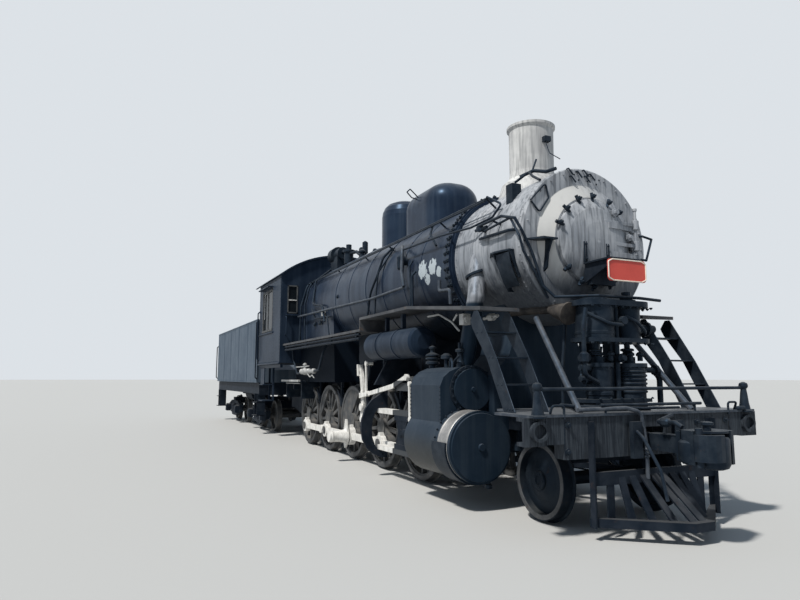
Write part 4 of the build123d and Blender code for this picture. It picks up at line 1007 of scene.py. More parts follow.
    def firebox_pipes(self) -> Dress:
        """Pipes down the firebox, the injector's two and the wash-out plugs."""
        plugs = ((-1.9, 2.62, 0.05), (-1.5, 2.62, 0.05), (-0.4, 3.05, 0.04))
        return Dress("firebox_pipes", IRON_BLACK, (
            Pipe(0.026, ((-2.85, -0.60, 3.80), (-2.85, -0.92, 3.62), (-2.84, -1.07, 3.10),
                         (-2.80, -1.10, 2.27)), 0.3),
            Pipe(0.020, ((-2.60, -0.60, 3.82), (-2.60, -0.93, 3.60), (-2.58, -1.06, 3.10),
                         (-2.45, -1.08, 2.27)), 0.3),
            Pipe(0.022, ((-2.30, -0.50, 3.95), (-2.2, -0.92, 3.62), (-1.9, -1.07, 3.05), (-1.2, -1.07, 2.95),
                         (-1.0, -1.08, 2.6)), 0.2),
            Pipe(0.014, on(Axis.Y, -1.06, (-2.0, 2.95), (-1.7, 2.72), (-0.9, 2.70), (-0.75, 2.3)), 0.1),
            Pipe(0.020, ((-2.05, -1.22, 1.60), (-2.5, -1.22, 1.55), (-2.8, -1.24, 1.9), (-2.8, -1.26, 2.12)),
                 0.1),
            Pipe(0.024, ((-1.25, -1.22, 1.60), (-0.9, -1.22, 1.62), (-0.7, -1.2, 1.95), (-0.7, -1.1, 2.16)),
                 0.1),
            *(form for x, z, size in plugs for form in rivet((x, -1.02, z), RIGHT, size))), sides=BOTH)

    def turret_fittings(self) -> Dress:
        """Steam turret ahead of the cab with its pipes and one more valve."""
        column = ((0.10, 0.0), (0.10, 0.24), (0.13, 0.25), (0.13, 0.30), (0.06, 0.32), (0.06, 0.42))
        valve = ((0.05, 0.0), (0.05, 0.16), (0.08, 0.17), (0.08, 0.20), (0.02, 0.24))
        return Dress("turret", IRON_BLACK, (
            Lathe((*self.turret, 3.90), UP, column, 16),
            Pipe(0.035, ((*self.turret, 4.12), (-0.95, -0.42, 4.10), (-0.70, -0.42, 3.98))),
            Pipe(0.030, ((*self.turret, 4.15), (-1.7, -0.45, 4.25), (-1.8, -0.42, 4.23))),
            Lathe((-0.62, -0.42, 3.85), UP, valve, 12)))


@dataclass(frozen=True)
class CylinderTrim(Assembly):
    """Studs, bands, valves and pipes of the cylinders, and the trim of the ladders beside them."""

    cylinder: tuple[float, float] = (-1.119, 0.691)
    chest: tuple[float, float] = (-1.011, 1.333)
    jacket_y: float = -1.427
    ladder_y: float = -1.413

    def pieces(self) -> Iterator[Dress]:
        """The pieces, in the order they are made."""
        yield self.studs()
        band = ((0.402, 0.0), (0.408, 0.01), (0.408, 0.03), (0.402, 0.035), (0.402, 0.19), (0.409, 0.20),
                (0.409, 0.225), (0.402, 0.235))
        yield Dress("cylinder_band", BARE_STEEL, (Lathe((4.70, *self.cylinder), AHEAD, band, 48),),
                    sides=BOTH)
        yield self.valves()
        yield self.pale_pipes()
        routes = [on(Axis.Y, y, (6.098, 1.140), (5.789, 1.668), (5.437, 2.188)) for y in (-1.407, -1.006)]
        yield Dress("ladder_trim", PIPE_GREY, [Pipe(0.006, route, 0.02, 4) for route in routes], sides=BOTH)
        treads = ((5.435, 5.525, 1.952, 2), (5.660, 5.730, 1.677, 2), (5.815, 5.885, 1.402, 2),
                  (5.97, 6.06, 1.165, 3))
        yield Dress("ladder_rivets", IRON_BLACK, [
            Row((x, self.ladder_y, z), (far_x, self.ladder_y, z), count, RIGHT, 0.011)
            for x, far_x, z, count in treads], sides=BOTH)

    def studs(self) -> Dress:
        """Valve head ring, the strip round the head, nuts on all covers and rivets on the jacket's edges."""
        return Dress("cylinder_studs", IRON_BLACK, (
            Lathe((4.612, *self.chest), AHEAD, flange(0.290, 0.026), 40),
            Plate(strip(self.cylinder, 0.398, 0.428, 172, 398), Axis.X, 4.610, 4.930),
            Circle((4.636, *self.chest), Axis.X, 0.268, 20, 0.014, AHEAD),
            Circle((4.640, *self.cylinder), Axis.X, 0.414, 10, 0.013, AHEAD, (50, 166)),
            Circle((3.772, *self.cylinder), Axis.X, 0.345, 20, 0.015, BACK),
            Circle((3.766, *self.chest), Axis.X, 0.205, 14, 0.014, BACK),
            *(Row((x, self.jacket_y, 0.76), (x, self.jacket_y - 0.003, 1.36), 14, RIGHT, 0.009)
              for x in (4.605, 3.812))), sides=BOTH)

    def valves(self) -> Dress:
        """Relief valve, cocks and the flanges of the steam pipe."""
        relief = ((0.05, 0.0), (0.045, 0.06), (0.09, 0.08), (0.09, 0.11), (0.062, 0.12), (0.062, 0.13),
                  (0.09, 0.14), (0.09, 0.16), (0.062, 0.17), (0.09, 0.18), (0.09, 0.20), (0.05, 0.22),
                  (0.03, 0.23), (0.03, 0.27), (0.05, 0.28), (0.05, 0.30), (0.01, 0.32))
        plug = ((0.05, 0.0), (0.05, 0.08), (0.035, 0.10), (0.035, 0.20), (0.055, 0.21), (0.055, 0.24),
                (0.02, 0.25), (0.02, 0.32))
        cock = ((0.03, -0.03), (0.03, 0.05), (0.045, 0.06), (0.045, 0.10), (0.02, 0.11))
        lid = ((0.03, 0.0), (0.03, 0.12), (0.075, 0.13), (0.07, 0.17), (0.03, 0.20))
        return Dress("cylinder_valves", IRON_BLACK, (
            Lathe((3.87, -1.14, 1.57), UP, relief, 14),
            Lathe((4.16, -1.09, 1.58), UP, lid, 14),
            Pipe(0.018, ((4.25, -1.09, 1.60), (4.27, -1.09, 1.72), (4.33, -1.10, 1.66), (4.36, -1.12, 1.57)),
                 0.05),
            Lathe((4.50, -1.08, 1.58), (0.1, -0.1, 1), plug, 8),
            Pipe(0.015, ((4.40, -1.12, 1.62), (4.50, -1.16, 1.68), (4.62, -1.16, 1.74)), 0.04),
            *(Lathe((x, -0.95, 0.315), DOWN, cock, 8) for x in (4.88, 3.90)),
            Pipe(0.012, ((4.88, -0.95, 0.24), (3.90, -0.95, 0.24), (3.86, -0.70, 0.30))),
            Lathe((4.43, -1.0, 1.50), (0.5, 0.15, 2.2), flange(0.155, 0.03), 20),
            Lathe((4.56, -0.865, 2.74), (-0.3, -0.3, 1.2), flange(0.150, 0.03), 20)), sides=BOTH, bevel=0.002)

    def pale_pipes(self) -> Dress:
        """Pale pipe over the steam chest with its handle, box and valve."""
        return Dress("pale_pipes", PALE_PIPE, (
            Pipe(0.013, on(Axis.Y, -1.2, (3.86, 2.27), (4.18, 2.27), (4.50, 2.15), (4.68, 2.03)), 0.2),
            Pipe(0.012, ((4.65, -1.26, 2.15), (4.74, -1.26, 2.22))),
            Box((4.75, -1.24, 2.09), (4.85, -1.14, 2.22)),
            Lathe((4.85, -1.19, 2.155), AHEAD, flange(0.045, 0.03), 8),
            Pipe(0.020, ((4.84, -0.95, 2.17), (5.14, -0.95, 2.18))),
            Lathe((4.96, -0.95, 2.175), AHEAD, flange(0.045, 0.09), 8)), bevel=0.003)


@dataclass(frozen=True)
class PumpTrim(Assembly):
    """Studs, fins, valves and pipes of the air pump."""

    pump_x: float = 5.90
    flange_z: float = 2.239

    def pieces(self) -> Iterator[Dress]:
        """The pieces, in the order they are made."""
        yield self.studs()
        yield Dress("pump_parts", IRON_BLACK, (*self.barrels(), *self.pump_pipes(), *self.small_valves()),
                    bevel=0.002)

    def ring(self, y: float, z: float, radius: float, count: int, size: float,
             facing: Point = DOWN) -> Circle:
        """Nuts round one cylinder of the pump."""
        return Circle((self.pump_x, y, z), Axis.Z, radius, count, size, facing)

    def studs(self) -> Dress:
        """Nuts round the steam and air cylinders and along the brackets."""
        return Dress("pump_studs", IRON_BLACK, (
            self.ring(-0.215, 2.230, 0.198, 18, 0.013), self.ring(0.235, 2.230, 0.146, 14, 0.012),
            self.ring(-0.215, 2.300, 0.185, 14, 0.013, UP),
            Row((6.09, -0.42, 1.849), (6.09, 0.42, 1.849), 9, DOWN, 0.019, True),
            Row((6.09, -0.40, self.flange_z), (6.09, 0.42, self.flange_z), 9, DOWN, 0.018, True),
            Row((6.00, 0.46, self.flange_z), (5.80, 0.46, self.flange_z), 4, DOWN, 0.018, True),
            self.ring(-0.180, 1.590, 0.147, 12, 0.011), self.ring(0.250, 1.590, 0.182, 14, 0.011),
            Row((6.112, -0.36, 1.25), (6.112, 0.36, 1.25), 6, UP, 0.015, True)))

    def barrels(self) -> list[Form]:
        """Bands and fins of the cylinders, with the rod between them."""
        band = ((0.206, 0.0), (0.210, 0.01), (0.210, 0.035), (0.206, 0.04))
        collar = ((0.135, 0.0), (0.145, 0.01), (0.145, 0.04), (0.135, 0.05))
        return [
            Lathe((self.pump_x, -0.215, 1.93), UP, band, 32),
            Lathe((self.pump_x, 0.250, 1.30), UP, fins(0.172, 0.186, 0.26, 6), 32),
            Lathe((self.pump_x, -0.180, 1.28), UP, collar, 28),
            Pipe(0.030, ((5.98, 0.01, 2.26), (5.98, 0.01, 1.20)))]

    def pump_pipes(self) -> list[Form]:
        """Steam, air and oil pipes round the pump."""
        steam = ((0.05, 0.0), (0.05, 0.10), (0.085, 0.11), (0.085, 0.14), (0.05, 0.15), (0.045, 0.24))
        return [
            Lathe((6.10, -0.02, 2.08), AHEAD, flange(0.045, 0.05), 10),
            Pipe(0.025, ((6.05, -0.46, 2.20), (6.05, -0.50, 2.02), (6.05, -0.50, 1.50), (6.02, -0.30, 1.42)),
                 0.08),
            Lathe((6.05, -0.50, 1.62), UP, ((0.03, 0.0), (0.05, 0.02), (0.05, 0.10), (0.03, 0.12)), 8),
            Pipe(0.032, on(Axis.X, self.pump_x, (0.42, 1.56), (0.60, 1.56), (0.70, 1.48), (0.70, 1.16)), 0.1),
            Lathe((self.pump_x, 0.62, 1.56), LEFT, flange(0.06, 0.04), 10),
            Lathe((self.pump_x, 0.40, 2.02), LEFT, steam, 12),
            Pipe(0.020, ((5.98, -0.42, 2.17), (6.08, -0.33, 2.10), (6.13, -0.22, 2.04), (6.14, -0.05, 2.03),
                         (6.06, 0.03, 2.06)), 0.12),
            Pipe(0.018, ((6.04, 0.08, 2.14), (6.09, 0.20, 2.08), (6.08, 0.34, 1.97), (5.98, 0.40, 1.93)),
                 0.1),
            Pipe(0.017, ((5.75, -0.29, 1.93), (5.75, -0.29, 1.50), (5.80, -0.34, 1.44)))]

    def small_valves(self) -> list[Form]:
        """Air valves, glands and cocks, and the pipes that run on below."""
        valve = ((0.05, 0.0), (0.06, 0.02), (0.06, 0.06), (0.035, 0.07), (0.035, 0.12))
        cock = ((0.03, 0.0), (0.03, 0.05), (0.045, 0.06), (0.045, 0.08), (0.02, 0.10))
        return [
            *(Lathe((self.pump_x, -0.315, z), RIGHT, valve, 8) for z in (1.68, 1.58, 1.46)),
            Lathe((self.pump_x, 0.235, 1.70), UP, fins(0.05, 0.075, 0.10, 2), 16),
            Lathe((self.pump_x, -0.215, 1.70), UP, fins(0.05, 0.07, 0.08, 2), 16),
            *(Lathe((6.0, y, 1.655), UP, cock, 6) for y in (0.18, 0.32, -0.10)),
            Lathe((5.92, 0.235, 2.32), UP, stud(0.07, 0.05, 0.05, 0.06, 0.10), 10),
            Lathe((5.92, 0.01, 1.68), AHEAD, stud(0.05, 0.13, 0.03, 0.14, 0.18), 8),
            Pipe(0.020, ((6.20, -0.95, 1.205), (6.20, -0.30, 1.150), (6.20, 0.22, 1.150)), 0.1),
            Pipe(0.014, ((6.13, -0.60, 1.19), (6.13, -0.20, 1.17), (6.24, 0.10, 1.16), (6.24, 0.60, 1.16)),
                 0.1),
            Pipe(0.020, ((5.60, -0.36, 2.10), (5.60, -0.42, 1.60), (5.64, -0.46, 1.14)), 0.1)]


@dataclass(frozen=True)
class BeamTrim(Assembly):
    """Nuts, seams and irons of the front beam, the coupler's castings, the rail posts and the train pipe."""

    nut_x: float = 6.425
    seam_x: float = 6.429
    rod_x: float = 6.44
    rod_z: float = 1.21

    def pieces(self) -> Iterator[Dress]:
        """The pieces, in the order they are made."""
        yield Dress("beam_irons", IRON_BLACK, (*self.beam_irons(), *self.coupler_irons()), bevel=0.002)
        post = ((0.085, 0.0), (0.085, 0.015), (0.060, 0.03), (0.046, 0.10), (0.036, 0.20), (0.030, 0.24),
                (0.030, 0.25), (0.044, 0.265), (0.048, 0.285), (0.040, 0.31), (0.012, 0.325))
        yield Dress("rail_posts", IRON_BLACK, (Lathe((6.42, -1.385, 1.105), UP, post, 16),), sides=BOTH)
        yield Dress("train_pipe", PIPE_GREY, (
            Pipe(0.020, ((6.40, -0.90, 1.17), (6.47, -0.373, 1.180), (6.48, -0.193, 1.140),
                         (6.49, -0.153, 0.867), (6.50, -0.156, 0.50)), 0.09),
            Lathe((6.491, -0.155, 0.80), DOWN, fins(0.024, 0.036, 0.10, 3), 8)))

    def beam_irons(self) -> list[Form]:
        """Nuts and plank seams on the beam's face, with the corner irons and the low rail above."""
        nuts = ((-1.055, 1.035), (-1.064, 0.790), (-0.242, 1.011), (-0.246, 0.944), (-0.257, 0.771),
                (0.62, 1.02), (0.62, 0.80), (1.05, 1.03), (1.05, 0.80))
        x, z = self.rod_x, self.rod_z
        return [
            *(Lathe((self.nut_x, *spot), AHEAD, stud(0.034, 0.016, 0.018, 0.018, 0.04), 6) for spot in nuts),
            *(Box((self.seam_x, y - 0.004, 0.745), (self.seam_x + 0.0025, y + 0.004, 1.085))
              for y in (-1.095, -0.740, -0.173, 0.45, 0.86, 1.12)),
            *(Pipe(0.012, ((6.40, s * 1.235, 1.12), (x, s * 1.235, 1.215), (x, s * 1.10, 1.215),
                           (x, s * 1.10, 1.09)))
              for s in (-1, 1)),
            Pipe(0.016, ((x, -0.66, z), (x, 0.69, z)), 0.05),
            *(Pipe(0.012, ((x, y, z), (x, y, z - 0.08))) for y in (-0.60, 0.60))]

    def coupler_irons(self) -> list[Form]:
        """Lever, pins, castings and cheeks of the front coupler, and the iron at the beam's left end."""
        lip = ((6.88, -0.13), (7.00, -0.19), (7.12, -0.15), (7.19, -0.04), (7.20, 0.10), (7.15, 0.22),
               (7.02, 0.25), (6.90, 0.24))
        pin = ((0.035, 0.0), (0.035, 0.09), (0.055, 0.10), (0.055, 0.125), (0.03, 0.13))
        knuckle = ((0.080, 0.0), (0.120, 0.015), (0.138, 0.05), (0.138, 0.27), (0.125, 0.29))
        guard = ((0.060, 0.0), (0.100, 0.02), (0.115, 0.05), (0.115, 0.20), (0.095, 0.22))
        return [
            Pipe(0.022, ((6.50, 0.20, 1.10), (6.62, -0.12, 1.05), (6.84, -0.14, 1.06), (6.92, -0.14, 1.02)),
                 0.06),
            Lathe((6.66, -0.125, 1.05), AHEAD, ((0.03, 0.0), (0.045, 0.02), (0.045, 0.09), (0.03, 0.11)), 8),
            Lathe((7.09, -0.02, 0.95), UP, pin, 10), Lathe((7.10, 0.035, 0.655), UP, knuckle, 24),
            Lathe((6.98, -0.10, 0.690), UP, guard, 20), Plate(lip, Axis.Z, 0.978, 0.998),
            *(Box((6.47, y, 0.70), (6.52, y + 0.12, 1.05)) for y in (-0.34, 0.22)),
            Pipe(0.017, ((6.47, -0.28, 0.98), (6.62, -0.31, 0.90), (6.80, -0.30, 0.62), (6.86, -0.30, 0.36)),
                 0.12),
            Pipe(0.024, ((6.41, 1.24, 1.14), (6.46, 1.24, 1.15), (6.46, 1.32, 1.15)))]


@dataclass(frozen=True)
class WheelTrim(Assembly):
    """Bright tyres, hub ends, the main pin's collars and the brake gear."""

    face_y: float = -0.8195
    main_driver: int = 3
    main_pin: Point = (0.2622, -1.020, 0.4198)
    pilot: Point = (5.656, -0.819, 0.404)
    shoe: Pairs = ((0.694, 20), (0.694, 35), (0.694, 50), (0.755, 50), (0.765, 35), (0.755, 20))
    spring: Pairs = ((-0.46, 1.06), (-0.2, 1.13), (0.0, 1.15), (0.2, 1.13), (0.46, 1.06), (0.46, 1.085),
                     (0.0, 1.24), (-0.46, 1.085))

    def pieces(self) -> Iterator[Dress]:
        """The pieces, in the order they are made."""
        for n, x in DRIVER_XS.items():
            tyre = self.tyre((x, self.face_y, DRIVER_R), 0.648, 0.590, 64)
            yield Dress(f"tyres_{n}", TYRE_STEEL, (tyre,), f"driver_{n}", BOTH)
        for n, x in DRIVER_XS.items():
            if n != self.main_driver:
                yield self.axle_ends(n, x)
        yield self.main_pin_collars()
        rim = self.tyre(self.pilot, 0.394, 0.344, 48)
        yield Dress("pilot_wheel_trim", TYRE_STEEL, (rim,), "pilot_wheels", BOTH)
        x, y, z = self.pilot
        yield Dress("pilot_hubs", PILOT_IRON, (
            Lathe(self.pilot, RIGHT, ((0.10, 0.0), (0.092, 0.012), (0.050, 0.014), (0.046, 0.004)), 20),
            Circle((x, y - 0.013, z), Axis.Y, 0.070, 5, 0.010, RIGHT, nuts=False)), "pilot_wheels", BOTH)
        yield self.brakes()

    def tyre(self, hub: Point, outer: float, inner: float, sides: int) -> Lathe:
        """Bright ring on a wheel's face."""
        ring = ((outer, 0.0), (outer - 0.002, 0.004), (inner + 0.002, 0.004), (inner, 0.0))
        return Lathe(hub, RIGHT, ring, sides, True)

    def axle_ends(self, n: int, x: float) -> Dress:
        """Hub caps with their rivets on one wheelset."""
        cap = ((0.105, 0.0), (0.105, 0.018), (0.095, 0.024), (0.04, 0.024), (0.035, 0.014))
        return Dress(f"axle_ends_{n}", WHEEL_IRON, (
            Lathe((x, -0.815, DRIVER_R), RIGHT, cap, 24),
            Circle((x, -0.838, DRIVER_R), Axis.Y, 0.07, 6, 0.011, RIGHT, nuts=False)), f"driver_{n}", BOTH)

    def main_pin_collars(self) -> Dress:
        """Long main pin with its collars, and the side rod's web round it."""
        pin = ((0.135, 0.0), (0.135, 0.03), (0.120, 0.06), (0.098, 0.16), (0.094, 0.28), (0.104, 0.285),
               (0.104, 0.31), (0.096, 0.315), (0.096, 0.352), (0.03, 0.353))
        web = ((0.14, 0.44), (0.25, 0.72), (0.29, 0.72), (0.39, 0.44), (0.36, 0.33), (0.25, 0.21),
               (0.21, 0.21))
        forms = (Lathe(self.main_pin, RIGHT, pin, 24), Plate(web, Axis.Y, -1.06, -1.022))
        return Dress("main_pin", CHALK_WHITE, forms, "rod_right", bevel=0.004)

    def brakes(self) -> Dress:
        """Shoe, hanger and driving spring at each coupled wheel."""
        spots = ((r, math.radians(degrees)) for r, degrees in self.shoe)
        shoe = [(r * math.cos(a), DRIVER_R + r * math.sin(a)) for r, a in spots]
        return Dress("brakes", SOOT_BLACK, (
            Plate(shoe, Axis.Y, -0.80, -0.71),
            Box((0.60, -0.775, 1.06), (0.64, -0.735, 1.42)),
            Pipe(0.022, ((0.62, -0.76, 1.40), (0.62, -0.50, 1.40))),
            Plate(self.spring, Axis.Y, -0.575, -0.485), Box((-0.05, -0.585, 1.02), (0.05, -0.475, 1.26))),
            sides=BOTH, shifts=[(x, 0.0, 0.0) for x in DRIVER_XS.values()])


@dataclass(frozen=True)
class CabTrim(Assembly):
    """Rivets, mouldings, steps, windows and inside fittings of the cab."""

    side_y: float = -1.489
    side_xs: tuple[float, float] = (-5.35, -3.14)
    front_x: float = -3.099
    window_xs: tuple[float, float] = (-5.0, -3.90)
    window_zs: tuple[float, float] = (2.60, 3.64)
    seat_ys: tuple[float, float] = (-1.2, 1.2)

    def pieces(self) -> Iterator[Dress]:
        """The pieces, in the order they are made."""
        yield self.rivets()
        yield self.trim()
        yield self.windows()
        bar = Box((-3.12, -1.30, 3.262), (-3.09, -1.11, 3.284))
        yield Dress("white_bars", CHALK_WHITE, (bar,), sides=BOTH)
        yield Dress("cab_glass", DARK_GLASS, (
            Box((-4.44, -1.472, 2.65), (-3.95, -1.466, 3.59)),
            Box((-3.115, -1.31, 2.98), (-3.110, -1.10, 3.60)),
            Box((-4.95, -1.452, 2.65), (-4.46, -1.446, 3.59))), sides=BOTH)
        yield self.fittings()
        planks = (Box((-3.95, -1.22, 1.375), (-2.45, -1.16, 1.42)),
                  Box((-3.80, -1.14, 1.33), (-2.60, -1.12, 1.35)))
        yield Dress("step_planks", PALE_PIPE, planks, sides=BOTH, bevel=0.004)
        hangers = ((-3.9, 1.0), (-2.6, 1.0), (-3.25, 1.2))
        yield Dress("plank_irons", IRON_BLACK, (
            Box((-3.95, -1.16, 1.37), (-2.45, -0.98, 1.40)),
            *(Box((x, -1.10, z), (x + 0.03, -0.585, 1.37)) for x, z in hangers)), sides=BOTH, bevel=0.004)

    def rivets(self) -> Dress:
        """Rows along the side's edges, behind the window and down the front."""
        (rear, front), y = self.side_xs, self.side_y
        return Dress("cab_rivets", CAB_BLACK, (
            *(Row((rear, y, z), (front, y, z), 34, RIGHT) for z in (1.84, 3.80)),
            *(Row((x, at_y, 1.90), (x, at_y, 3.74), 26, out) for x, at_y, out in (
                (-3.13, y, RIGHT), (rear, y, RIGHT), (self.front_x, -1.45, AHEAD), (-3.76, y, RIGHT)))),
            sides=BOTH)

    def trim(self) -> Dress:
        """Mouldings, arm rest, drip shelf, steps and hand irons."""
        return Dress("cab_trim", CAB_BLACK, (
            Pipe(0.022, ((-5.39, -1.50, 1.80), (-3.09, -1.50, 1.80)), sides=6),
            Pipe(0.020, ((-5.39, -1.50, 2.56), (-3.80, -1.50, 2.56)), sides=6),
            Box((-5.36, -1.46, 1.70), (-3.12, -1.40, 1.78)), Box((-3.10, -1.36, 2.90), (-3.04, -1.05, 2.935)),
            Box((-5.00, -1.62, 3.675), (-3.90, self.side_y, 3.70)),
            Box((-5.18, -1.46, 1.30), (-4.78, -1.44, 1.72)), Box((-5.20, -1.50, 1.28), (-4.76, -1.20, 1.30)),
            Box((-5.20, -1.50, 0.88), (-4.76, -1.24, 0.90)),
            *(Box((x, -1.25, 0.88), (x + 0.02, -1.20, 1.74)) for x in (-5.20, -4.78)),
            Pipe(0.016, on(Axis.X, -5.35, (-1.48, 1.90), (-1.54, 1.95), (-1.54, 3.15), (-1.48, 3.20)), 0.04),
            Pipe(0.014, on(Axis.Y, -1.36, (-3.10, 2.45), (-3.02, 2.48), (-3.02, 2.86), (-3.10, 2.88)), 0.04)),
            sides=BOTH, bevel=0.003)

    def windows(self) -> Dress:
        """Frame and middle post of the side window, and the frame of the front one."""
        (rear, front), (sill, head) = self.window_xs, self.window_zs
        low, high = 2.958, 3.621
        return Dress("cab_windows", SASH, (
            *(Box((x, -1.495, sill), (x + 0.05, -1.455, head)) for x in (rear, front - 0.05)),
            Box((rear, -1.495, head - 0.05), (front, -1.455, head)),
            Box((rear, -1.505, sill), (front, -1.455, sill + 0.05)),
            Box((-4.475, -1.485, sill), (-4.425, -1.455, head)),
            *(Box((-3.125, y, low), (-3.09, y + 0.03, high)) for y in (-1.33, -1.11)),
            *(Box((-3.125, -1.33, z), (-3.09, -1.08, top)) for z, top in ((3.59, high), (low, 2.99)))),
            sides=BOTH, bevel=0.004)

    def fittings(self) -> Dress:
        """Fire door ring, lever, pipes, gauges and seats."""
        gauge = ((0.10, 0.0), (0.10, 0.05), (0.085, 0.06))
        return Dress("cab_fittings", IRON_BLACK, (
            Lathe((-3.62, 0.0, 2.35), BACK, ((0.26, 0.0), (0.26, 0.03), (0.22, 0.05), (0.20, 0.05)), 24),
            Pipe(0.018, ((-3.62, -0.25, 3.45), (-3.75, -0.25, 3.40), (-4.15, -0.62, 3.20)), 0.05),
            Pipe(0.035, on(Axis.Z, 3.70, (-3.55, -0.75), (-3.80, -0.75), (-3.80, 0.75), (-3.55, 0.75)), 0.1),
            *(Lathe((-3.70, y, z), BACK, gauge, 20) for y, z in ((0.0, 3.55), (0.26, 3.50), (-0.5, 3.60))),
            *(Box((-4.95, y - 0.20, 2.28), (-4.45, y + 0.20, 2.36)) for y in self.seat_ys),
            *(Box((-4.95, y - 0.04, 1.84), (-4.90, y + 0.04, 2.28)) for y in self.seat_ys),
            *(Box((-4.99, y - 0.20, 2.36), (-4.94, y + 0.20, 2.75)) for y in self.seat_ys),
            Pipe(0.020, on(Axis.Y, 0.95, (-3.9, 1.84), (-3.95, 2.6), (-4.05, 2.9)))), bevel=0.006)


@dataclass(frozen=True)
class TenderTrim(Assembly):
    """Rivets, straps, irons and truck trim of the tender."""

    front: float = -5.587
    rear: float = -12.485
    side_y: float = -1.488
    strap_xs: tuple[float, ...] = (-11.09, -9.74, -8.37, -6.99)
    trucks: tuple[tuple[str, float], ...] = (("front", -7.16), ("rear", -11.16))
    axle_reach: float = 0.838

    def pieces(self) -> Iterator[Dress]:
        """The pieces, in the order they are made."""
        yield self.rivets()
        yield Dress("tender_trim", TENDER_PAINT, (
            Pipe(0.026, on(Axis.Z, 3.012, (-5.60, -1.475), (-12.472, -1.475), (-12.472, 0.0)), 0.03),
            *(Box((x, -1.494, 1.345), (x + 0.04, self.side_y, 3.0)) for x in self.strap_xs)),
            "tender", BOTH, bevel=0.002)
        yield self.irons()
        for name, x in self.trucks:
            yield self.truck_irons(name, x)

    def rivets(self) -> Dress:
        """Rows along both edges of the side, beside each strap and down both ends."""
        seams = (-12.44, -11.1, -11.06, -9.75, -9.71, -8.38, -8.34, -7.0, -6.96, -5.63)
        posts = (*((x, self.side_y, RIGHT) for x in seams), (self.front, -1.45, AHEAD),
                 (self.rear, -1.45, BACK))
        return Dress("tender_rivets", TENDER_PAINT, (
            *(Row((-12.45, self.side_y, z), (-5.62, self.side_y, z), 90, RIGHT) for z in (1.38, 2.96)),
            *(Row((x, y, 1.44), (x, y, 2.92), 20, out) for x, y, out in posts)), "tender", BOTH)

    def irons(self) -> Dress:
        """Grab irons, steps, ladder rungs, uncoupling rod and brake cylinder."""
        return Dress("tender_irons", SOOT_BLACK, (
            Pipe(0.017, ((-5.60, -1.48, 2.97), (-5.56, -1.53, 2.93), (-5.56, -1.53, 1.47),
                         (-5.60, -1.48, 1.43)), 0.04),
            Pipe(0.017, ((-12.47, -1.48, 2.60), (-12.50, -1.53, 2.55), (-12.50, -1.53, 1.47),
                         (-12.47, -1.48, 1.43)), 0.04),
            *(Box((x, -1.50, z), (x + 0.36, -1.22, z + 0.02)) for x in (-6.03, -12.42) for z in (0.46, 0.80)),
            *(Box((x, -1.44, 0.46), (x + 0.02, -1.22, 1.04)) for x in (-6.03, -5.69, -12.42, -12.08)),
            *(Pipe(0.013, on(Axis.Z, z, (-12.48, -1.20), (-12.54, -1.20), (-12.54, -0.82), (-12.48, -0.82)),
                   0.02)
              for z in (1.55, 1.90, 2.25, 2.60, 2.95)),
            Pipe(0.02, ((-12.62, -1.30, 1.20), (-12.70, -1.30, 1.20), (-12.70, -0.10, 1.16),
                        (-12.86, -0.06, 1.05)), 0.04),
            Pipe(0.045, ((-7.9, -0.9, 0.98), (-10.4, -0.9, 0.98))),
            Lathe((-9.9, -0.75, 0.95), AHEAD, ((0.0, 0.0), (0.2, 0.04), (0.2, 1.0), (0.0, 1.04)), 24)),
            "tender", BOTH, bevel=0.003)

    def truck_irons(self, name: str, x: float) -> Dress:
        """Axle boxes with their lids, coil springs and column nuts of one truck."""
        boxes = [x + side * self.axle_reach for side in BOTH]
        return Dress(f"truck_irons_{name}", SOOT_BLACK, (
            *(Plate(((c - 0.13, 0.30), (c + 0.13, 0.30), (c + 0.13, 0.53), (c, 0.56), (c - 0.13, 0.53)),
                    Axis.Y, -1.20, -1.08) for c in boxes),
            *(Plate(((c - 0.10, 0.31), (c + 0.10, 0.31), (c + 0.09, 0.50), (c - 0.09, 0.50)),
                    Axis.Y, -1.225, -1.20) for c in boxes),
            *(Lathe((x + d, -1.09, 0.29), UP, fins(0.035, 0.062, 0.30, 6), 14) for d in (-0.12, 0.0, 0.12)),
            *(Row((c, -1.08, 0.30), (c, -1.08, 0.60), 2, RIGHT, 0.02, True) for c in (x - 0.55, x + 0.55))),
            f"truck_{name}", BOTH, bevel=0.004)


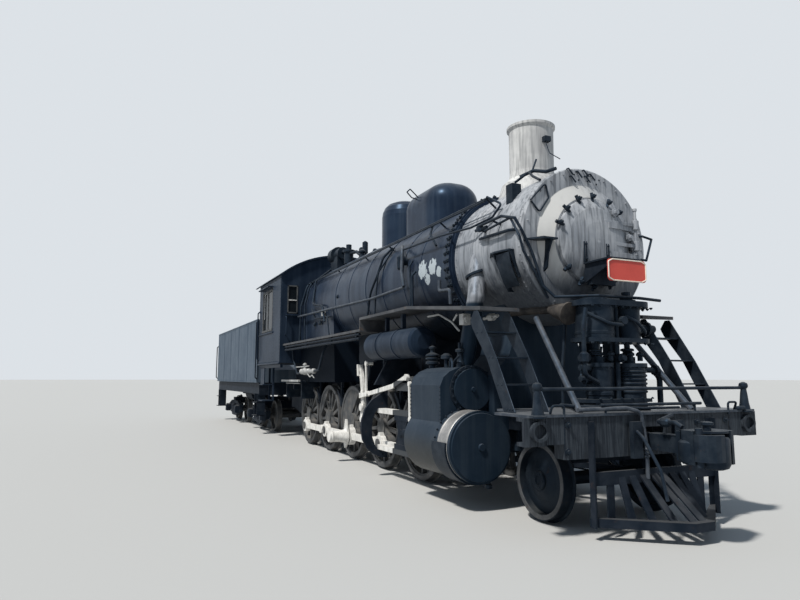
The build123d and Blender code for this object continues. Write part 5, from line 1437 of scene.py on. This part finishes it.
@dataclass(frozen=True)
class Studio:
    """Pale floor, soft lamps and the camera."""

    location: Point = (14.145, -4.928, 1.502)
    forward: Point = (-0.90327, 0.41099, 0.12326)
    roll: float = 0.057
    lens: float = 28.06
    sensor: float = 36.0
    far: float = 1000.0
    floor: float = 400.0
    floor_colour: Colour = (0.46, 0.46, 0.45)
    sun_from: Point = (0.22, -0.52, 0.82)
    sun_power: float = 4.2
    sun_width: float = 5.0
    sun_colour: Colour = (1.0, 0.97, 0.92)
    sky_colour: Colour = (0.60, 0.78, 1.0)
    sky_power: float = 0.34
    backdrop: Colour = (0.72, 0.76, 0.80)

    def place(self, name: str, data: bpy.types.ID) -> bpy.types.Object:
        """Put a lamp, camera or mesh in the scene."""
        thing = bpy.data.objects.new(name, data)
        bpy.context.scene.collection.objects.link(thing)
        return thing

    def camera(self) -> None:
        """Camera at the viewing angle of the photograph."""
        data = bpy.data.cameras.new("camera")
        data.lens = self.lens
        data.sensor_width = self.sensor
        data.clip_end = self.far
        camera = self.place("camera", data)
        ahead = Vector(self.forward).normalized()
        aim = ahead.to_track_quat("-Z", "Y").to_matrix()
        turn = Matrix.Rotation(math.radians(-self.roll), 3, ahead) @ aim
        camera.matrix_world = Matrix.Translation(self.location) @ turn.to_4x4()
        bpy.context.scene.camera = camera

    def sun(self) -> None:
        """A broad sun from the right."""
        sun = bpy.data.lights.new("sun", "SUN")
        sun.energy = self.sun_power
        sun.angle = math.radians(self.sun_width)
        sun.color = self.sun_colour
        self.place("sun", sun).rotation_euler = Vector(self.sun_from).to_track_quat("Z", "Y").to_euler()

    def sky(self) -> None:
        """An even pale sky, with a plain backdrop for what is seen directly, in gloss or through glass."""
        world = bpy.data.worlds.new("sky")
        world.use_nodes = True
        nodes = NodeTree(world.node_tree)
        soft = nodes.node("Background", {"Color": self.sky_colour, "Strength": self.sky_power})
        plain = nodes.node("Background", {"Color": self.backdrop})
        path = nodes.node("LightPath", {}).outputs
        seen = path["Is Camera Ray"]
        for ray in ("Is Glossy Ray", "Is Transmission Ray"):
            seen = nodes.sum("MAXIMUM", seen, path[ray])
        mix = nodes.node("MixShader", {"Fac": seen, 1: soft.outputs[0], 2: plain.outputs[0]})
        nodes.set(world.node_tree.nodes["World Output"].inputs["Surface"], mix.outputs[0])
        bpy.context.scene.world = world

    def ground(self) -> None:
        """Plain pale floor under the wheels."""
        mesh = bmesh.new()
        bmesh.ops.create_grid(mesh, x_segments=1, y_segments=1, size=self.floor)
        data = bpy.data.meshes.new("floor")
        mesh.to_mesh(data)
        mesh.free()
        bench = NodeBench("floor")
        bench.set(bench.shader.inputs["Base Color"], self.floor_colour)
        bench.set(bench.shader.inputs["Roughness"], 0.9)
        data.materials.append(bench.material)
        floor = self.place("floor", data)

    def build(self) -> None:
        """Camera, lamps and floor."""
        bpy.context.scene.view_settings.view_transform = "Standard"
        self.camera()
        self.sun()
        self.sky()
        self.ground()


@dataclass(frozen=True)
class CarriedNodes:
    """Finishes and worn edges of the frame's own nodes; those not named wear soot."""

    nodes: dict[str, bpy.types.Object]
    dressed: tuple[tuple[Finish, str], ...] = (
        (GLOSS_BLACK, "boiler sand_dome steam_dome"),
        (IRON_BLACK, "boiler_valves generator front_ladders hand_rails front_rail air_pump"),
        (IRON_BLACK, "front_coupler rear_coupler"),
        (GRAPHITE, "smokebox smokebox_door door_hinges"),
        (STACK_PAINT, "stack"),
        (FRONT_PAINT, "smokebox_front"),
        (PLATE_RED, "number_plate"),
        (CAB_BLACK, "cab_front cab_roof cab_side_left cab_side_right air_reservoirs"),
        (CASING_PAINT, "cylinder_left cylinder_right"),
        (BOARD_EDGE, "running_boards"),
        (PIPE_GREY, "front_deck smokebox_braces"),
        (BEAM_TIMBER, "front_beam"),
        (CHALK_WHITE, "side_rod_left side_rod_right"),
        (GEAR_PAINT, "valve_gear crosshead_guides"),
        (TENDER_PAINT, "tender_tank tender_hatch"),
        (PILOT_IRON, "pilot_wheelset"))
    worn_edges: tuple[tuple[str, float], ...] = (
        ("front_coupler", 0.022), ("rear_coupler", 0.022), ("front_beam", 0.006), ("tender_tank", 0.008),
        ("number_plate", 0.002))

    def finish_of(self, name: str) -> Finish:
        """The finish of a node, by its name."""
        for finish, names in self.dressed:
            if name in names.split():
                return finish
        return WHEEL_IRON if "wheelset" in name else SOOT_BLACK

    def build(self) -> None:
        """Give every node its material and its worn edges."""
        edges = dict(self.worn_edges)
        for name, node in self.nodes.items():
            finish = self.finish_of(name)
            node.data.materials.clear()
            node.data.materials.append(finish.material())
            if name in edges:
                wear(node, edges[name], 3)
            LOG.info("%s: %s", name, finish.name)


def main() -> None:
    """Build the dressed locomotive around the frame."""
    logging.basicConfig(level=logging.INFO, format="%(name)s %(message)s")
    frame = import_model()
    Studio().build()
    CarriedNodes(frame["nodes"]).build()
    for assembly in (SmokeboxTrim, BoilerTrim, CylinderTrim, PumpTrim, BeamTrim, WheelTrim, CabTrim,
                     TenderTrim):
        assembly().build()


if __name__ == "__main__":
    main()
